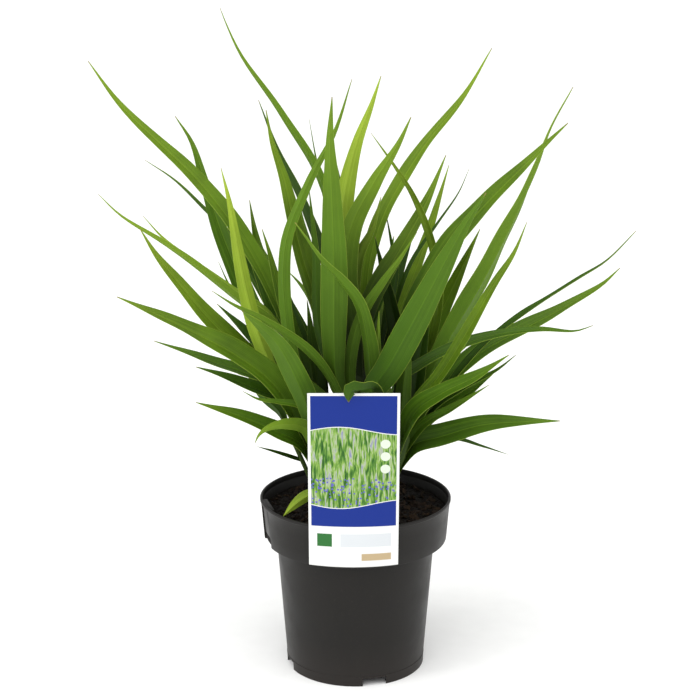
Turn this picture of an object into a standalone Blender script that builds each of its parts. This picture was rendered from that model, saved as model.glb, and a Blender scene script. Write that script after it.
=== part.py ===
"""Flax lily growing in a round nursery pot, with a printed plant label.

Metres, +Z up. The origin is on the ground, on the pot's axis, and the front view looks along +Y.
Each shoot is one solid: a flat stem of wrapped leaf bases with its fan of blades fused into it.
"""

import math

import bmesh
import bpy
import numpy as np
from mathutils import Matrix, Vector

# The pot
HEIGHT = 0.1753
RIM_RADIUS = 0.095
LIP_DROP = 0.0032
COLLAR_HEIGHT = 0.043
COLLAR_TOP_RADIUS = 0.0942
COLLAR_LOW_RADIUS = 0.0909
BODY_RADIUS = 0.0785
BASE_RADIUS = 0.069
WALL = 0.0016
FLOOR_TOP = 0.010
FLOOR_THICK = 0.002
POT_SIDES = 48
FOOT_NOTCHES = (16, 106, 196, 286)
NOTCH_WIDTH = 0.024
NOTCH_HEIGHT = 0.008
DRAIN_HOLES = 6
DRAIN_RADIUS = 0.005
DRAIN_CIRCLE = 0.047
POCKET_TURN = -75
POCKET_WIDTH = 0.030
TAB_WIDTH = 0.020
TAB_DROP = 0.031
POCKET_RADIUS = 0.0863
POCKET_LEAN = math.radians(4.7)
TAB_LEAN = math.radians(5.4)

# The soil
SOIL_LEVEL = 0.161
SOIL_BUMP = 0.0022
SOIL_SIDES = 32
GAP = 0.0003

# The label card and its stake
CARD_WIDTH = 0.085
CARD_LOW = 0.135
CARD_HIGH = 0.3160
CARD_THICK = 0.0008
CARD_LEAN = math.radians(9)
CARD_BOW = 0.0075
STAKE_WIDTH = 0.014
STAKE_THICK = 0.0010
STAKE_PATH = (
    (-0.1089, 0.250), (-0.1052, 0.226), (-0.1012, 0.206), (-0.0885, 0.186),
    (-0.0800, 0.162), (-0.0740, 0.128), (-0.0720, 0.105),
)

# The blades
STATIONS = (0.0, 0.15, 0.32, 0.49, 0.66, 0.84, 1.0)
WIDTH_ALONG = (
    (0.0, 0.46), (0.13, 0.62), (0.28, 0.88), (0.40, 1.00), (0.52, 0.95),
    (0.66, 0.76), (0.80, 0.48), (0.92, 0.20), (1.0, 0.03),
)
FOLD_ALONG = ((0.0, 50), (0.13, 44), (0.28, 32), (0.43, 26), (0.58, 22), (0.8, 20), (1.0, 26))
MIDRIB_THICK = 0.0010
EDGE_THICK = 0.0007
ROOT_SINK = 0.22
CLEARANCE = 0.0030
SEED = 11

# The front view in which the blades are laid out: where it looks from, and its scale at a distance of 1
VIEW_X = -0.00545
VIEW_BACK = 1.6965
VIEW_UP = 0.776
VIEW_DOWN = 0.260
VIEW_SCALE = 1800.0
SHEET_MIDDLE = 350.0

# Shoots: where the stem stands in the soil, where its fan opens, and the stem's half width and half depth
SHOOTS = {
    "shoot_01": ((-0.022, -0.034), (-0.040, -0.050, 0.243), 0.0085, 0.0050),
    "shoot_02": ((-0.022, -0.001), (-0.0494, -0.003, 0.262), 0.0085, 0.0050),
    "shoot_03": ((-0.024, 0.032), (-0.040, 0.046, 0.270), 0.0085, 0.0050),
    "shoot_04": ((-0.001, -0.040), (0.000, -0.056, 0.268), 0.0090, 0.0050),
    "shoot_05": ((-0.001, 0.000), (0.002, -0.002, 0.285), 0.0090, 0.0050),
    "shoot_06": ((0.002, 0.040), (0.012, 0.060, 0.280), 0.0085, 0.0050),
    "shoot_07": ((0.018, -0.032), (0.046, -0.046, 0.252), 0.0090, 0.0050),
    "shoot_08": ((0.020, 0.003), (0.058, 0.004, 0.258), 0.0085, 0.0050),
    "shoot_09": ((0.022, 0.036), (0.044, 0.050, 0.270), 0.0085, 0.0050),
    "sprout_01": ((-0.034, 0.016), (-0.075, 0.014, 0.2576), 0.0025, 0.0023),
    "sprout_02": ((-0.034, -0.058), (-0.036, -0.063, 0.203), 0.0036, 0.0028),
}

# Blades in sight from the front: shoot, how far up the stem the blade leaves, width, turn out of the picture
# plane in degrees (two turns, for base and tip, where the blade twists), depth of the tip, then where the
# sheet shows it, from the base to the tip
BLADES = (
    ("shoot_01", 0.75, 0.033, -42, -0.130,
     ((278, 386), (238, 354.5), (198, 333.5), (159, 315.5), (117, 297))),
    ("shoot_01", 0.62, 0.011, -40, -0.085,
     ((303, 408), (279, 402), (259, 399.5), (243, 391.5))),
    ("shoot_01", 0.40, 0.025, -42, -0.095,
     ((302, 444), (279, 431.5), (239, 415.5), (196, 402.5))),
    ("shoot_01", 0.50, 0.016, 12, -0.155,
     ((307, 429), (286, 424), (268, 428), (259, 435), (255, 443))),
    ("shoot_01", 0.90, 0.025, 10, -0.192,
     ((307, 405), (298, 382), (275, 341), (242, 311))),
    ("shoot_02", 0.95, 0.022, -34, 0.055,
     ((300, 360), (282, 312), (246.5, 243), (200.5, 182.5), (160.5, 144), (119.5, 104), (88, 61))),
    ("shoot_02", 0.88, 0.011, 35, -0.015,
     ((282, 333), (236, 297), (199, 267), (160, 240), (120, 215), (98, 194))),
    ("shoot_02", 0.84, 0.011, 35, 0.045,
     ((270, 318), (229, 288), (198, 265), (164, 239), (143, 216))),
    ("shoot_02", 0.80, 0.024, -35, -0.080,
     ((284, 390), (247, 354.5), (212, 321), (177.5, 281.5), (155.5, 254), (140, 229))),
    ("shoot_02", 0.66, 0.022, -30, -0.030,
     ((288.5, 377.5), (261, 347), (238.5, 324), (217, 304))),
    ("shoot_02", 0.55, 0.024, -50, 0.030,
     ((285, 389), (244, 371.5), (199, 356.5), (154, 341))),
    ("shoot_02", 0.45, 0.027, -48, -0.015,
     ((292, 403.5), (262, 390), (224, 376), (196, 367))),
    ("shoot_02", 1.00, 0.017, -14, -0.095,
     ((284, 390), (262, 345), (247, 295), (238, 250), (229, 200), (221, 168))),
    ("shoot_02", 0.98, 0.017, -26, -0.045,
     ((305, 372), (290, 325), (277, 283), (269, 252), (262, 229))),
    ("shoot_02", 0.72, 0.008, 20, 0.060,
     ((262, 330), (232, 290), (218, 261))),
    ("shoot_03", 0.92, 0.022, 18, 0.075,
     ((290, 370), (256, 313), (223, 237), (206, 186), (192, 142.5), (175, 116))),
    ("shoot_03", 0.80, 0.010, 40, 0.110,
     ((281, 330), (239.5, 246.5), (202.5, 206), (175, 180), (145, 160))),
    ("shoot_03", 1.00, 0.019, 15, 0.030,
     ((303, 370), (278, 305), (262, 258), (255, 231), (249.5, 200))),
    ("shoot_03", 0.70, 0.014, 20, 0.150,
     ((322, 340), (312, 301), (301, 285), (288, 271))),
    ("shoot_03", 0.50, 0.020, 10, 0.095,
     ((318, 372), (303, 333), (288, 301), (270, 262))),
    ("shoot_04", 1.00, 0.028, 3, -0.125,
     ((337, 382), (334, 340), (334, 270), (332, 200), (330, 140), (332, 97))),
    ("shoot_04", 0.80, 0.012, 35, -0.120,
     ((334, 386), (318, 361), (297, 341), (261, 318), (234, 305), (212, 291))),
    ("shoot_04", 0.92, 0.014, 22, -0.075,
     ((322, 395), (300, 375), (286, 315), (286, 243), (308, 184), (335, 131), (352, 79))),
    ("shoot_04", 0.86, 0.014, 20, -0.050,
     ((334, 372), (319, 325), (316, 260), (312, 217), (309, 188))),
    ("shoot_04", 0.70, 0.031, 8, -0.170,
     ((372, 392), (388, 368), (424, 302), (446, 260), (467, 222), (486, 193))),
    ("shoot_04", 0.95, 0.013, 12, -0.085,
     ((350, 365), (360, 319), (384, 280), (401, 257), (417, 232))),
    ("shoot_05", 0.95, 0.012, 32, -0.005,
     ((345, 345), (338, 240), (320.5, 178), (281.5, 113), (241, 55), (227, 26), (220, 8))),
    ("shoot_05", 0.88, 0.015, 32, 0.100,
     ((344, 325), (325, 257), (302, 198), (279, 152), (258.5, 100))),
    ("shoot_05", 0.90, 0.018, 15, 0.110,
     ((340, 330), (318, 275), (303, 225), (297, 192))),
    ("shoot_05", 0.92, 0.023, -26, -0.055,
     ((345, 360), (322, 312), (298, 238), (284.5, 181.5), (272, 143.5), (266, 110))),
    ("shoot_05", 0.70, 0.006, 20, 0.030,
     ((344, 320), (330, 225), (316, 158), (309, 118))),
    ("shoot_05", 1.00, 0.024, 18, -0.045,
     ((350, 320), (342, 240), (345, 195), (357, 143), (371, 106), (381, 76))),
    ("shoot_05", 0.97, 0.026, 22, -0.080,
     ((352, 335), (345, 268), (352, 226), (375, 181.5), (398, 144.5), (411, 117))),
    ("shoot_05", 0.85, 0.019, 10, -0.020,
     ((354, 335), (352, 292), (359, 255), (372, 229), (381, 197))),
    ("shoot_05", 0.78, 0.008, 10, 0.020,
     ((350, 320), (344, 230), (347, 190), (350, 167))),
    ("shoot_05", 0.80, 0.024, 28, 0.055,
     ((361, 340), (374, 295), (404, 242), (427.5, 199.5), (446, 155))),
    ("shoot_06", 1.00, 0.020, 36, 0.115,
     ((368, 340), (367, 275), (382.5, 216), (423, 147), (464, 96), (492, 48))),
    ("shoot_06", 0.90, 0.017, 30, 0.125,
     ((381, 350), (405, 296), (426, 240), (439, 199), (449, 165))),
    ("shoot_06", 0.80, 0.006, 25, 0.100,
     ((382, 350), (410, 265), (437, 224), (459, 192), (469, 169))),
    ("shoot_06", 0.75, 0.011, 15, 0.080,
     ((380, 340), (396, 270), (391, 240), (386, 213))),
    ("shoot_07", 0.95, 0.019, (0, 75), -0.130,
     ((384, 404), (374, 382), (369, 345), (360, 305), (345, 284), (322.5, 260), (295, 222.5))),
    ("shoot_07", 0.80, 0.014, 8, -0.085,
     ((388, 402), (378, 365), (379, 311))),
    ("shoot_07", 0.70, 0.017, 48, -0.030,
     ((384, 392), (418, 366), (447, 350.5), (490, 335.5), (541, 329.5), (576, 331), (593, 325.5))),
    ("shoot_07", 0.62, 0.023, 38, -0.145,
     ((413, 413), (441, 393), (478, 375), (509, 355))),
    ("shoot_07", 0.52, 0.013, 28, -0.060,
     ((421, 426), (451, 408.5), (489, 385))),
    ("shoot_07", 0.34, 0.027, 25, -0.080,
     ((410, 446), (442, 435.5), (482, 424.5), (522, 421.5), (560, 421))),
    ("shoot_07", 0.88, 0.014, 20, -0.105,
     ((416, 402), (438, 377), (464, 336), (494.5, 283), (514, 253), (527, 222))),
    ("shoot_08", 0.98, 0.029, 38, -0.045,
     ((403, 375), (413, 316), (448, 247), (483, 206), (531, 158.5), (568, 123))),
    ("shoot_08", 0.92, 0.026, (-5, -88), 0.080,
     ((428, 378), (447, 340), (482, 279), (513, 218), (536.5, 167), (550, 129), (573, 87))),
    ("shoot_08", 0.75, 0.012, 60, -0.065,
     ((440, 396), (477, 351), (519, 316.5), (545, 299.5), (579, 278), (606, 261), (636, 231))),
    ("shoot_08", 0.65, 0.026, 45, 0.035,
     ((440, 391), (478, 353), (521, 329.5), (561, 308.5), (602, 284.5), (620, 268))),
    ("shoot_08", 0.50, 0.012, 30, -0.025,
     ((434, 406), (463, 387), (496, 370.5), (516, 355))),
    ("shoot_08", 0.42, 0.026, 35, 0.010,
     ((428, 417), (461, 397.5), (493, 374))),
    ("shoot_08", 0.30, 0.007, 35, -0.010,
     ((418, 443), (455, 438.5), (482, 446), (508, 454.5))),
    ("shoot_09", 0.95, 0.022, 14, 0.040,
     ((420, 360), (442, 310), (464, 263), (480, 229))),
    ("shoot_09", 0.90, 0.018, 18, 0.040,
     ((400, 385), (396, 330), (385, 279), (375, 237))),
    ("shoot_09", 0.85, 0.011, 22, -0.005,
     ((430, 345), (439, 295), (433, 247), (414, 197), (395, 166.5), (371, 133))),
    ("sprout_01", 0.48, 0.005, 30, 0.000,
     ((300, 459), (279, 452.5), (257, 446.5))),
    ("sprout_01", 1.00, 0.014, 25, 0.030,
     ((277, 408), (262, 394), (246, 372))),
    ("sprout_02", 0.92, 0.013, 15, -0.057,
     ((307, 496), (295, 504.5), (283, 516.5))),
    ("sprout_02", 1.00, 0.011, 20, -0.078,
     ((318, 470), (330, 440), (344, 420))),
)

# Blades behind them, which fill the clump and its far side: shoot, how far up the stem the blade leaves, width,
# how much it arches, depth of the tip, and where the sheet shows the tip
BACK_BLADES = (
    ("shoot_01", 0.70, 0.017, 0.16, -0.020, (262, 372)),
    ("shoot_02", 0.90, 0.019, 0.12, 0.060, (268, 272)),
    ("shoot_02", 0.97, 0.018, 0.10, 0.095, (238, 226)),
    ("shoot_03", 1.00, 0.020, 0.10, 0.125, (256, 236)),
    ("shoot_03", 0.94, 0.021, 0.12, 0.180, (262, 262)),
    ("shoot_03", 0.84, 0.021, 0.14, 0.150, (216, 226)),
    ("shoot_03", 0.66, 0.022, 0.18, 0.140, (244, 292)),
    ("shoot_03", 0.46, 0.020, 0.26, 0.115, (226, 338)),
    ("shoot_03", 0.55, 0.020, 0.20, 0.170, (266, 318)),
    ("shoot_03", 0.36, 0.018, 0.30, 0.080, (238, 374)),
    ("shoot_03", 0.42, 0.019, 0.06, 0.065, (307, 300)),
    ("shoot_05", 0.34, 0.021, 0.06, 0.020, (331, 350)),
    ("shoot_05", 0.60, 0.019, 0.12, 0.060, (330, 296)),
    ("shoot_05", 0.66, 0.019, 0.12, 0.050, (384, 300)),
    ("shoot_05", 0.74, 0.020, 0.10, 0.120, (340, 226)),
    ("shoot_05", 0.45, 0.022, 0.10, 0.035, (354, 326)),
    ("shoot_06", 0.98, 0.021, 0.08, 0.115, (331, 140)),
    ("shoot_06", 0.92, 0.021, 0.10, 0.160, (394, 236)),
    ("shoot_06", 0.74, 0.021, 0.16, 0.180, (322, 262)),
    ("shoot_06", 0.60, 0.022, 0.24, 0.194, (356, 312)),
    ("shoot_06", 0.66, 0.021, 0.20, 0.180, (396, 276)),
    ("shoot_06", 0.44, 0.020, 0.30, 0.150, (384, 346)),
    ("shoot_06", 0.36, 0.019, 0.28, 0.165, (322, 344)),
    ("shoot_06", 0.96, 0.021, 0.10, 0.140, (420, 206)),
    ("shoot_07", 0.78, 0.018, 0.10, -0.050, (410, 325)),
    ("shoot_07", 0.58, 0.017, 0.16, 0.000, (446, 384)),
    ("shoot_08", 0.85, 0.020, 0.12, 0.050, (430, 300)),
    ("shoot_08", 0.58, 0.019, 0.22, 0.085, (478, 336)),
    ("shoot_08", 0.70, 0.020, 0.14, 0.100, (484, 272)),
    ("shoot_09", 0.98, 0.021, 0.08, 0.120, (470, 218)),
    ("shoot_09", 0.92, 0.021, 0.12, 0.155, (452, 262)),
    ("shoot_09", 0.66, 0.021, 0.18, 0.150, (472, 312)),
    ("shoot_09", 0.46, 0.020, 0.26, 0.140, (456, 352)),
    ("shoot_09", 0.36, 0.018, 0.30, 0.160, (416, 372)),
)

# The short blade whose tip folds over the card's top edge. Its bend is sharp, so it has stations of its own
FOLDED_SHOOT = "shoot_07"
FOLDED_SHARE = 0.75
FOLDED_STATIONS = (0.0, 0.30, 0.60, 0.79, 0.87, 0.935, 1.0)
FOLDED_WIDTHS = (0.0110, 0.0130, 0.0160, 0.0160, 0.0160, 0.0146, 0.0010)
FOLDED_TURNS = (30, 55, 68, 72, 66, 20, 5)
FOLDED_POINTS = (
    (0.0155, -0.1120, 0.3190), (0.0040, -0.1225, 0.3210), (-0.0045, -0.1270, 0.3215),
    (-0.0066, -0.1275, 0.3150), (-0.0066, -0.1262, 0.3092),
)


def smooth(x):
    x = np.clip(x, 0.0, 1.0)
    return x * x * (3 - 2 * x)


def along(pairs, t):
    places, values = zip(*pairs)
    return np.interp(t, places, values)


def from_sheet(across, down, depth):
    """The point at this depth (its Y) that the front view shows at this place on its sheet."""
    gone = VIEW_BACK + depth
    fall = VIEW_DOWN + math.atan((down - SHEET_MIDDLE) / VIEW_SCALE)
    rise = -gone * math.tan(fall)
    ahead = gone * math.cos(VIEW_DOWN) - rise * math.sin(VIEW_DOWN)
    return np.array((VIEW_X + (across - SHEET_MIDDLE) * ahead / VIEW_SCALE, depth, VIEW_UP + rise))


def to_sheet(points):
    """Where the front view shows these points: across, down, and the distance straight ahead."""
    x = points[..., 0] - VIEW_X
    gone = points[..., 1] + VIEW_BACK
    rise = points[..., 2] - VIEW_UP
    ahead = gone * math.cos(VIEW_DOWN) - rise * math.sin(VIEW_DOWN)
    up = gone * math.sin(VIEW_DOWN) + rise * math.cos(VIEW_DOWN)
    return SHEET_MIDDLE + VIEW_SCALE * x / ahead, SHEET_MIDDLE - VIEW_SCALE * up / ahead, ahead


def sight(points):
    """Unit vectors from the eye of the front view to the points."""
    rays = points - np.array((VIEW_X, -VIEW_BACK, VIEW_UP))
    return rays / np.linalg.norm(rays, axis=-1, keepdims=True)


def curve_through(points, count):
    """Evenly spaced points on a smooth curve through the given ones."""
    points = np.asarray(points, float)
    knots = np.concatenate([[0], np.cumsum(np.sqrt(np.linalg.norm(np.diff(points, axis=0), axis=1)))])
    first = 2 * points[0] - points[1]
    last = 2 * points[-1] - points[-2]
    padded = np.vstack([first, points, last])
    times = np.concatenate([[2 * knots[0] - knots[1]], knots, [2 * knots[-1] - knots[-2]]])
    found = []
    for i in range(1, len(points)):
        p0, p1, p2, p3 = padded[i - 1 : i + 3]
        t0, t1, t2, t3 = times[i - 1 : i + 3]
        for t in np.linspace(t1, t2, 24, endpoint=False):
            a1 = (t1 - t) / (t1 - t0) * p0 + (t - t0) / (t1 - t0) * p1
            a2 = (t2 - t) / (t2 - t1) * p1 + (t - t1) / (t2 - t1) * p2
            a3 = (t3 - t) / (t3 - t2) * p2 + (t - t2) / (t3 - t2) * p3
            b1 = (t2 - t) / (t2 - t0) * a1 + (t - t0) / (t2 - t0) * a2
            b2 = (t3 - t) / (t3 - t1) * a2 + (t - t1) / (t3 - t1) * a3
            found.append((t2 - t) / (t2 - t1) * b1 + (t - t1) / (t2 - t1) * b2)
    found.append(points[-1])
    found = np.array(found)
    steps = np.linalg.norm(np.diff(found, axis=0), axis=1)
    length = np.concatenate([[0], np.cumsum(steps)])
    wanted = np.asarray(count) if np.ndim(count) else np.linspace(0, 1, count)
    return np.stack([np.interp(wanted * length[-1], length, found[:, k]) for k in range(3)], axis=1)


def stem_point(shoot, share):
    """The point this share of the way from the soil to where the fan opens."""
    (x, y), top, _, _ = SHOOTS[shoot]
    low = np.array((x, y, SOIL_LEVEL))
    return low + (np.array(top) - low) * share


def blade_spine(shoot, share, depth, marks):
    """The midrib: from inside the stem, out of it at share, then through the marks on the sheet to the tip."""
    root = stem_point(shoot, share - ROOT_SINK)
    leave = stem_point(shoot, share)
    across, down, _ = to_sheet(leave)
    places = np.array([(across, down)] + list(marks))
    gone = np.concatenate([[0], np.cumsum(np.linalg.norm(np.diff(places, axis=0), axis=1))])
    gone = gone / gone[-1]
    depths = leave[1] + (depth - leave[1]) * gone**1.25
    points = [from_sheet(*place, far) for place, far in zip(places[1:], depths[1:])]
    return curve_through([root, leave] + points, STATIONS)


def arched_marks(shoot, share, arch, depth, tip):
    """One mark between the stem and the tip, so that the blade rises first and then leans out."""
    leave = stem_point(shoot, share)
    end = from_sheet(*tip, depth)
    middle = leave + (end - leave) * 0.52
    middle[2] += arch * np.linalg.norm(end[:2] - leave[:2])
    across, down, _ = to_sheet(middle)
    return ((float(across), float(down)), tip)


def blade_frame(spine, turns):
    """Across and upward unit vectors at each station, for these turns out of the picture plane in degrees."""
    tangent = np.gradient(spine, axis=0)
    tangent /= np.linalg.norm(tangent, axis=1, keepdims=True)
    ray = sight(spine)
    level = np.cross(tangent, ray)
    level /= np.linalg.norm(level, axis=1, keepdims=True)
    for k in range(1, len(level)):
        if level[k] @ level[k - 1] < 0:
            level[k] = -level[k]
    away = np.cross(level, tangent)
    angle = np.radians(turns)[:, None]
    across = np.cos(angle) * level + np.sin(angle) * away
    upward = np.cross(tangent, across)
    middle = spine[len(spine) // 2]
    inward = np.array((-middle[0], -middle[1], 0.0)) / (np.hypot(middle[0], middle[1]) + 0.05)
    if upward[len(spine) // 2] @ (inward + np.array((0, 0, 0.5))) < 0:
        across, upward = -across, -upward
    return across, upward


def blade_lines(blade, spare=0.0):
    """Left edge, midrib and right edge of a blade's middle surface, one point at each station."""
    half = blade["widths"] / 2 + spare
    fold = np.radians(along(FOLD_ALONG, blade["stations"]))
    side = (half * np.cos(fold))[:, None] * blade["across"]
    rise = (half * np.sin(fold))[:, None] * blade["upward"] / 2
    return blade["spine"] - side + rise, blade["spine"] - rise, blade["spine"] + side + rise


def all_blades():
    """Every blade with its spine and frame, from the two tables and the folded one."""
    chance = np.random.default_rng(SEED)
    rows = list(BLADES)
    for shoot, share, width, arch, depth, tip in BACK_BLADES:
        start = stem_point(shoot, share)
        end = from_sheet(*tip, depth)
        turn = math.degrees(math.atan2(end[0] - start[0], abs(end[1] - start[1]) + 0.03)) * 0.7
        rows.append((shoot, share, width, turn, depth, arched_marks(shoot, share, arch, depth, tip)))
    blades = []
    places = np.array(STATIONS)
    for shoot, share, width, turn, depth, marks in rows:
        base, tip = turn if isinstance(turn, tuple) else (turn, turn)
        turns = base + (tip - base) * places + chance.uniform(-22, 22) * (places - 0.5)
        blades.append({"shoot": shoot, "stations": STATIONS, "widths": width * along(WIDTH_ALONG, STATIONS),
                       "turns": turns, "spine": blade_spine(shoot, share, depth, marks), "held": False})
    start = [stem_point(FOLDED_SHOOT, FOLDED_SHARE - ROOT_SINK), stem_point(FOLDED_SHOOT, FOLDED_SHARE)]
    spine = curve_through(start + list(FOLDED_POINTS), FOLDED_STATIONS)
    blades.append({"shoot": FOLDED_SHOOT, "stations": FOLDED_STATIONS, "widths": np.array(FOLDED_WIDTHS),
                   "turns": np.array(FOLDED_TURNS), "spine": spine, "held": True})
    for blade in blades:
        blade["across"], blade["upward"] = blade_frame(blade["spine"], blade["turns"])
    return blades


def card_point(across, up):
    """A point of the card's middle surface: across from -0.5 to 0.5, up from 0 to 1."""
    z = CARD_LOW + (CARD_HIGH - CARD_LOW) * up
    lean = -(CARD_HIGH - CARD_LOW) * up * math.tan(CARD_LEAN)
    bow = CARD_BOW * (2 * across) ** 2 * max(0.0, 1 - up) ** 1.5
    touch = COLLAR_LOW_RADIUS + 0.0004 + GAP + CARD_THICK / 2
    return (-0.002 + CARD_WIDTH * across, -touch + lean + bow, z)


def fixed_strips():
    """What the blades are kept clear of (stems, card, stake): owner, sample points, and half their depth."""
    strips = []
    for shoot, (_, _, wide, deep) in SHOOTS.items():
        shares = np.linspace(0, 1.02, 30)
        core = np.array([stem_point(shoot, s) for s in shares])
        for side in np.linspace(-1, 1, 9):
            strips.append((shoot, core + np.array((side * wide, 0, 0)), deep + 0.001))
    grid = [card_point(a, u) for a in np.linspace(-0.52, 0.52, 45) for u in np.linspace(0, 1.01, 90)]
    strips.append(("card", np.array(grid), 0.001))
    path = curve_through([(0, y, z) for y, z in STAKE_PATH], 60)
    for side in np.linspace(-0.008, 0.008, 9):
        strips.append(("stake", path + np.array((side, 0, 0)), 0.0015))
    return strips


def cells_of(blades, cell=2.2):
    """Every cell of the sheet that a blade or fixed strip covers, with its nearest and farthest distance."""
    owners, keys, near, far, place = [], [], [], [], []
    for number, blade in enumerate(blades):
        left, middle, right = blade_lines(blade, 0.0012)
        steps = np.linspace(0, len(STATIONS) - 1, 150)
        low = np.minimum(steps.astype(int), len(STATIONS) - 2)
        part = (steps - low)[:, None]
        lines = [line[low] * (1 - part) + line[low + 1] * part for line in (left, middle, right)]
        for share in np.linspace(-1, 1, 11):
            points = lines[1] + (lines[2 if share > 0 else 0] - lines[1]) * abs(share)
            across, down, ahead = to_sheet(points)
            owners.append(np.full(len(steps), number))
            keys.append(np.floor(across / cell).astype(int) * 4096 + np.floor(down / cell).astype(int))
            near.append(ahead - 0.0006)
            far.append(ahead + 0.0006)
            place.append(steps)
    names = sorted({owner for owner, _, _ in fixed_strips()})
    for owner, points, deep in fixed_strips():
        across, down, ahead = to_sheet(points)
        owners.append(np.full(len(points), len(blades) + names.index(owner)))
        keys.append(np.floor(across / cell).astype(int) * 4096 + np.floor(down / cell).astype(int))
        near.append(ahead - deep)
        far.append(ahead + deep)
        place.append(np.zeros(len(points)))
    owners, keys, near, far, place = (np.concatenate(x) for x in (owners, keys, near, far, place))
    both = owners * (1 << 24) + keys
    order = np.argsort(both, kind="stable")
    starts = np.flatnonzero(np.concatenate([[True], np.diff(both[order]) != 0]))
    counts = np.diff(np.concatenate([starts, [len(order)]]))
    return {
        "owner": owners[order][starts],
        "key": keys[order][starts],
        "near": np.minimum.reduceat(near[order], starts),
        "far": np.maximum.reduceat(far[order], starts),
        "place": np.add.reduceat(place[order], starts) / counts,
    }, names


def meeting_pairs(found, groups, held, count):
    """Pairs of rows in the same cell whose owners have to be kept apart."""
    order = np.argsort(found["key"], kind="stable")
    keys = found["key"][order]
    first, second = [], []
    for shift in range(1, 60):
        same = np.flatnonzero(keys[shift:] == keys[:-shift])
        if not len(same):
            break
        first.append(order[same])
        second.append(order[same + shift])
    a, b = np.concatenate(first), np.concatenate(second)
    owner_a, owner_b = found["owner"][a], found["owner"][b]
    swap = owner_a > owner_b
    a, b = np.where(swap, b, a), np.where(swap, a, b)
    owner_a, owner_b = found["owner"][a], found["owner"][b]
    other = groups[owner_a] != groups[owner_b]
    free = (found["place"][a] > 1.6) & (found["place"][b] > 1.6) & (owner_a < count) & (owner_b < count)
    moving = owner_a < count
    card = held[owner_a] & (owner_b >= count)
    keep = (owner_a != owner_b) & (other | free) & moving & ~card
    return a[keep], b[keep]


def bend_clear(blades, rounds=160):
    """Shifts the blades along the line of sight, little by little, so that different shoots pass clear."""
    count, last = len(blades), len(STATIONS) - 1
    found, names = cells_of(blades)
    shoots = list(SHOOTS)
    owner_groups = [shoots.index(blade["shoot"]) for blade in blades]
    owner_groups += [shoots.index(name) if name in shoots else 90 + i for i, name in enumerate(names)]
    groups = np.array(owner_groups)
    held = np.array([blade["held"] for blade in blades] + [False] * len(names))
    a, b = meeting_pairs(found, groups, held, count)
    loose = smooth((np.arange(last + 1) - 0.5) / 2.2)
    owner_a, owner_b = found["owner"][a], found["owner"][b]
    place_a, place_b = found["place"][a], found["place"][b]
    loose_a = np.interp(place_a, range(last + 1), loose)
    loose_b = np.where(owner_b < count, np.interp(place_b, range(last + 1), loose), 0)
    loose_a = np.where(held[owner_a], 0, loose_a)
    loose_b = np.where(held[owner_b], 0, loose_b)
    gap = (found["near"][b] + found["far"][b] - found["near"][a] - found["far"][a]) / 2
    pair = owner_a * 4096 + owner_b
    _, group = np.unique(pair, return_inverse=True)
    vote = np.bincount(group, weights=gap * (1.05 - loose_a * loose_b) ** 2)
    a_first = vote[group] > 0
    share_a = (loose_a + 1e-6) / (loose_a + loose_b + 2e-6)
    pushes = np.zeros((count + len(names), last + 1))
    way = np.where(a_first, -1.0, 1.0)
    low_a = np.minimum(place_a.astype(int), last - 1)
    low_b = np.minimum(place_b.astype(int), last - 1)
    part_a = place_a - low_a
    part_b = place_b - low_b
    for _ in range(rounds):
        push_a = pushes[owner_a, low_a] * (1 - part_a) + pushes[owner_a, low_a + 1] * part_a
        push_b = pushes[owner_b, low_b] * (1 - part_b) + pushes[owner_b, low_b + 1] * part_b
        room_behind_a = found["near"][b] + push_b - found["far"][a] - push_a
        room_behind_b = found["near"][a] + push_a - found["far"][b] - push_b
        lack = np.maximum(0, CLEARANCE - np.where(a_first, room_behind_a, room_behind_b))
        if lack.max() < 0.0002:
            break
        wants = np.zeros((2,) + pushes.shape)
        moves_a = (owner_a, low_a, part_a, way * lack * share_a)
        moves_b = (owner_b, low_b, part_b, -way * lack * (1 - share_a))
        for owner, low, part, amount in (moves_a, moves_b):
            for step, weight in ((0, 1 - part), (1, part)):
                np.maximum.at(wants[0], (owner, low + step), np.where(weight > 0.12, amount, 0))
                np.maximum.at(wants[1], (owner, low + step), np.where(weight > 0.12, -amount, 0))
        pushes += 0.6 * (wants[0] - wants[1]) * loose
        ends = np.concatenate([pushes[:, 1:], 2 * pushes[:, -1:] - pushes[:, -2:-1]], axis=1)
        starts = np.concatenate([pushes[:, :1], pushes[:, :-1]], axis=1)
        pushes += 0.18 * ((starts + ends) / 2 - pushes) * loose
    for number, blade in enumerate(blades):
        if not blade["held"]:
            blade["spine"] = blade["spine"] + sight(blade["spine"]) * pushes[number][:, None]
    return lack.max(), np.abs(pushes[:count]).max()


def material(name, colour, roughness):
    made = bpy.data.materials.new(name)
    made.use_nodes = True
    shader = made.node_tree.nodes["Principled BSDF"]
    shader.inputs["Base Color"].default_value = (*colour, 1)
    shader.inputs["Roughness"].default_value = roughness
    return made


def collection(name):
    made = bpy.data.collections.new(name)
    bpy.context.scene.collection.children.link(made)
    return made


def solid(name, mesh, where, look=None):
    made = bpy.data.objects.new(name, mesh)
    where.objects.link(made)
    if look:
        made.data.materials.append(look)
    return made


def helper(made):
    made.hide_render = True
    made.display_type = "WIRE"
    return made


def apply_all(made):
    """Puts the modifiers' result in the object's own mesh."""
    graph = bpy.context.evaluated_depsgraph_get()
    mesh = bpy.data.meshes.new_from_object(made.evaluated_get(graph))
    mesh.name = made.name
    made.modifiers.clear()
    made.data = mesh
    return made


def face_outward(mesh):
    work = bmesh.new()
    work.from_mesh(mesh)
    bmesh.ops.remove_doubles(work, verts=work.verts, dist=1e-6)
    bmesh.ops.recalc_face_normals(work, faces=work.faces)
    work.to_mesh(mesh)
    work.free()


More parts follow.
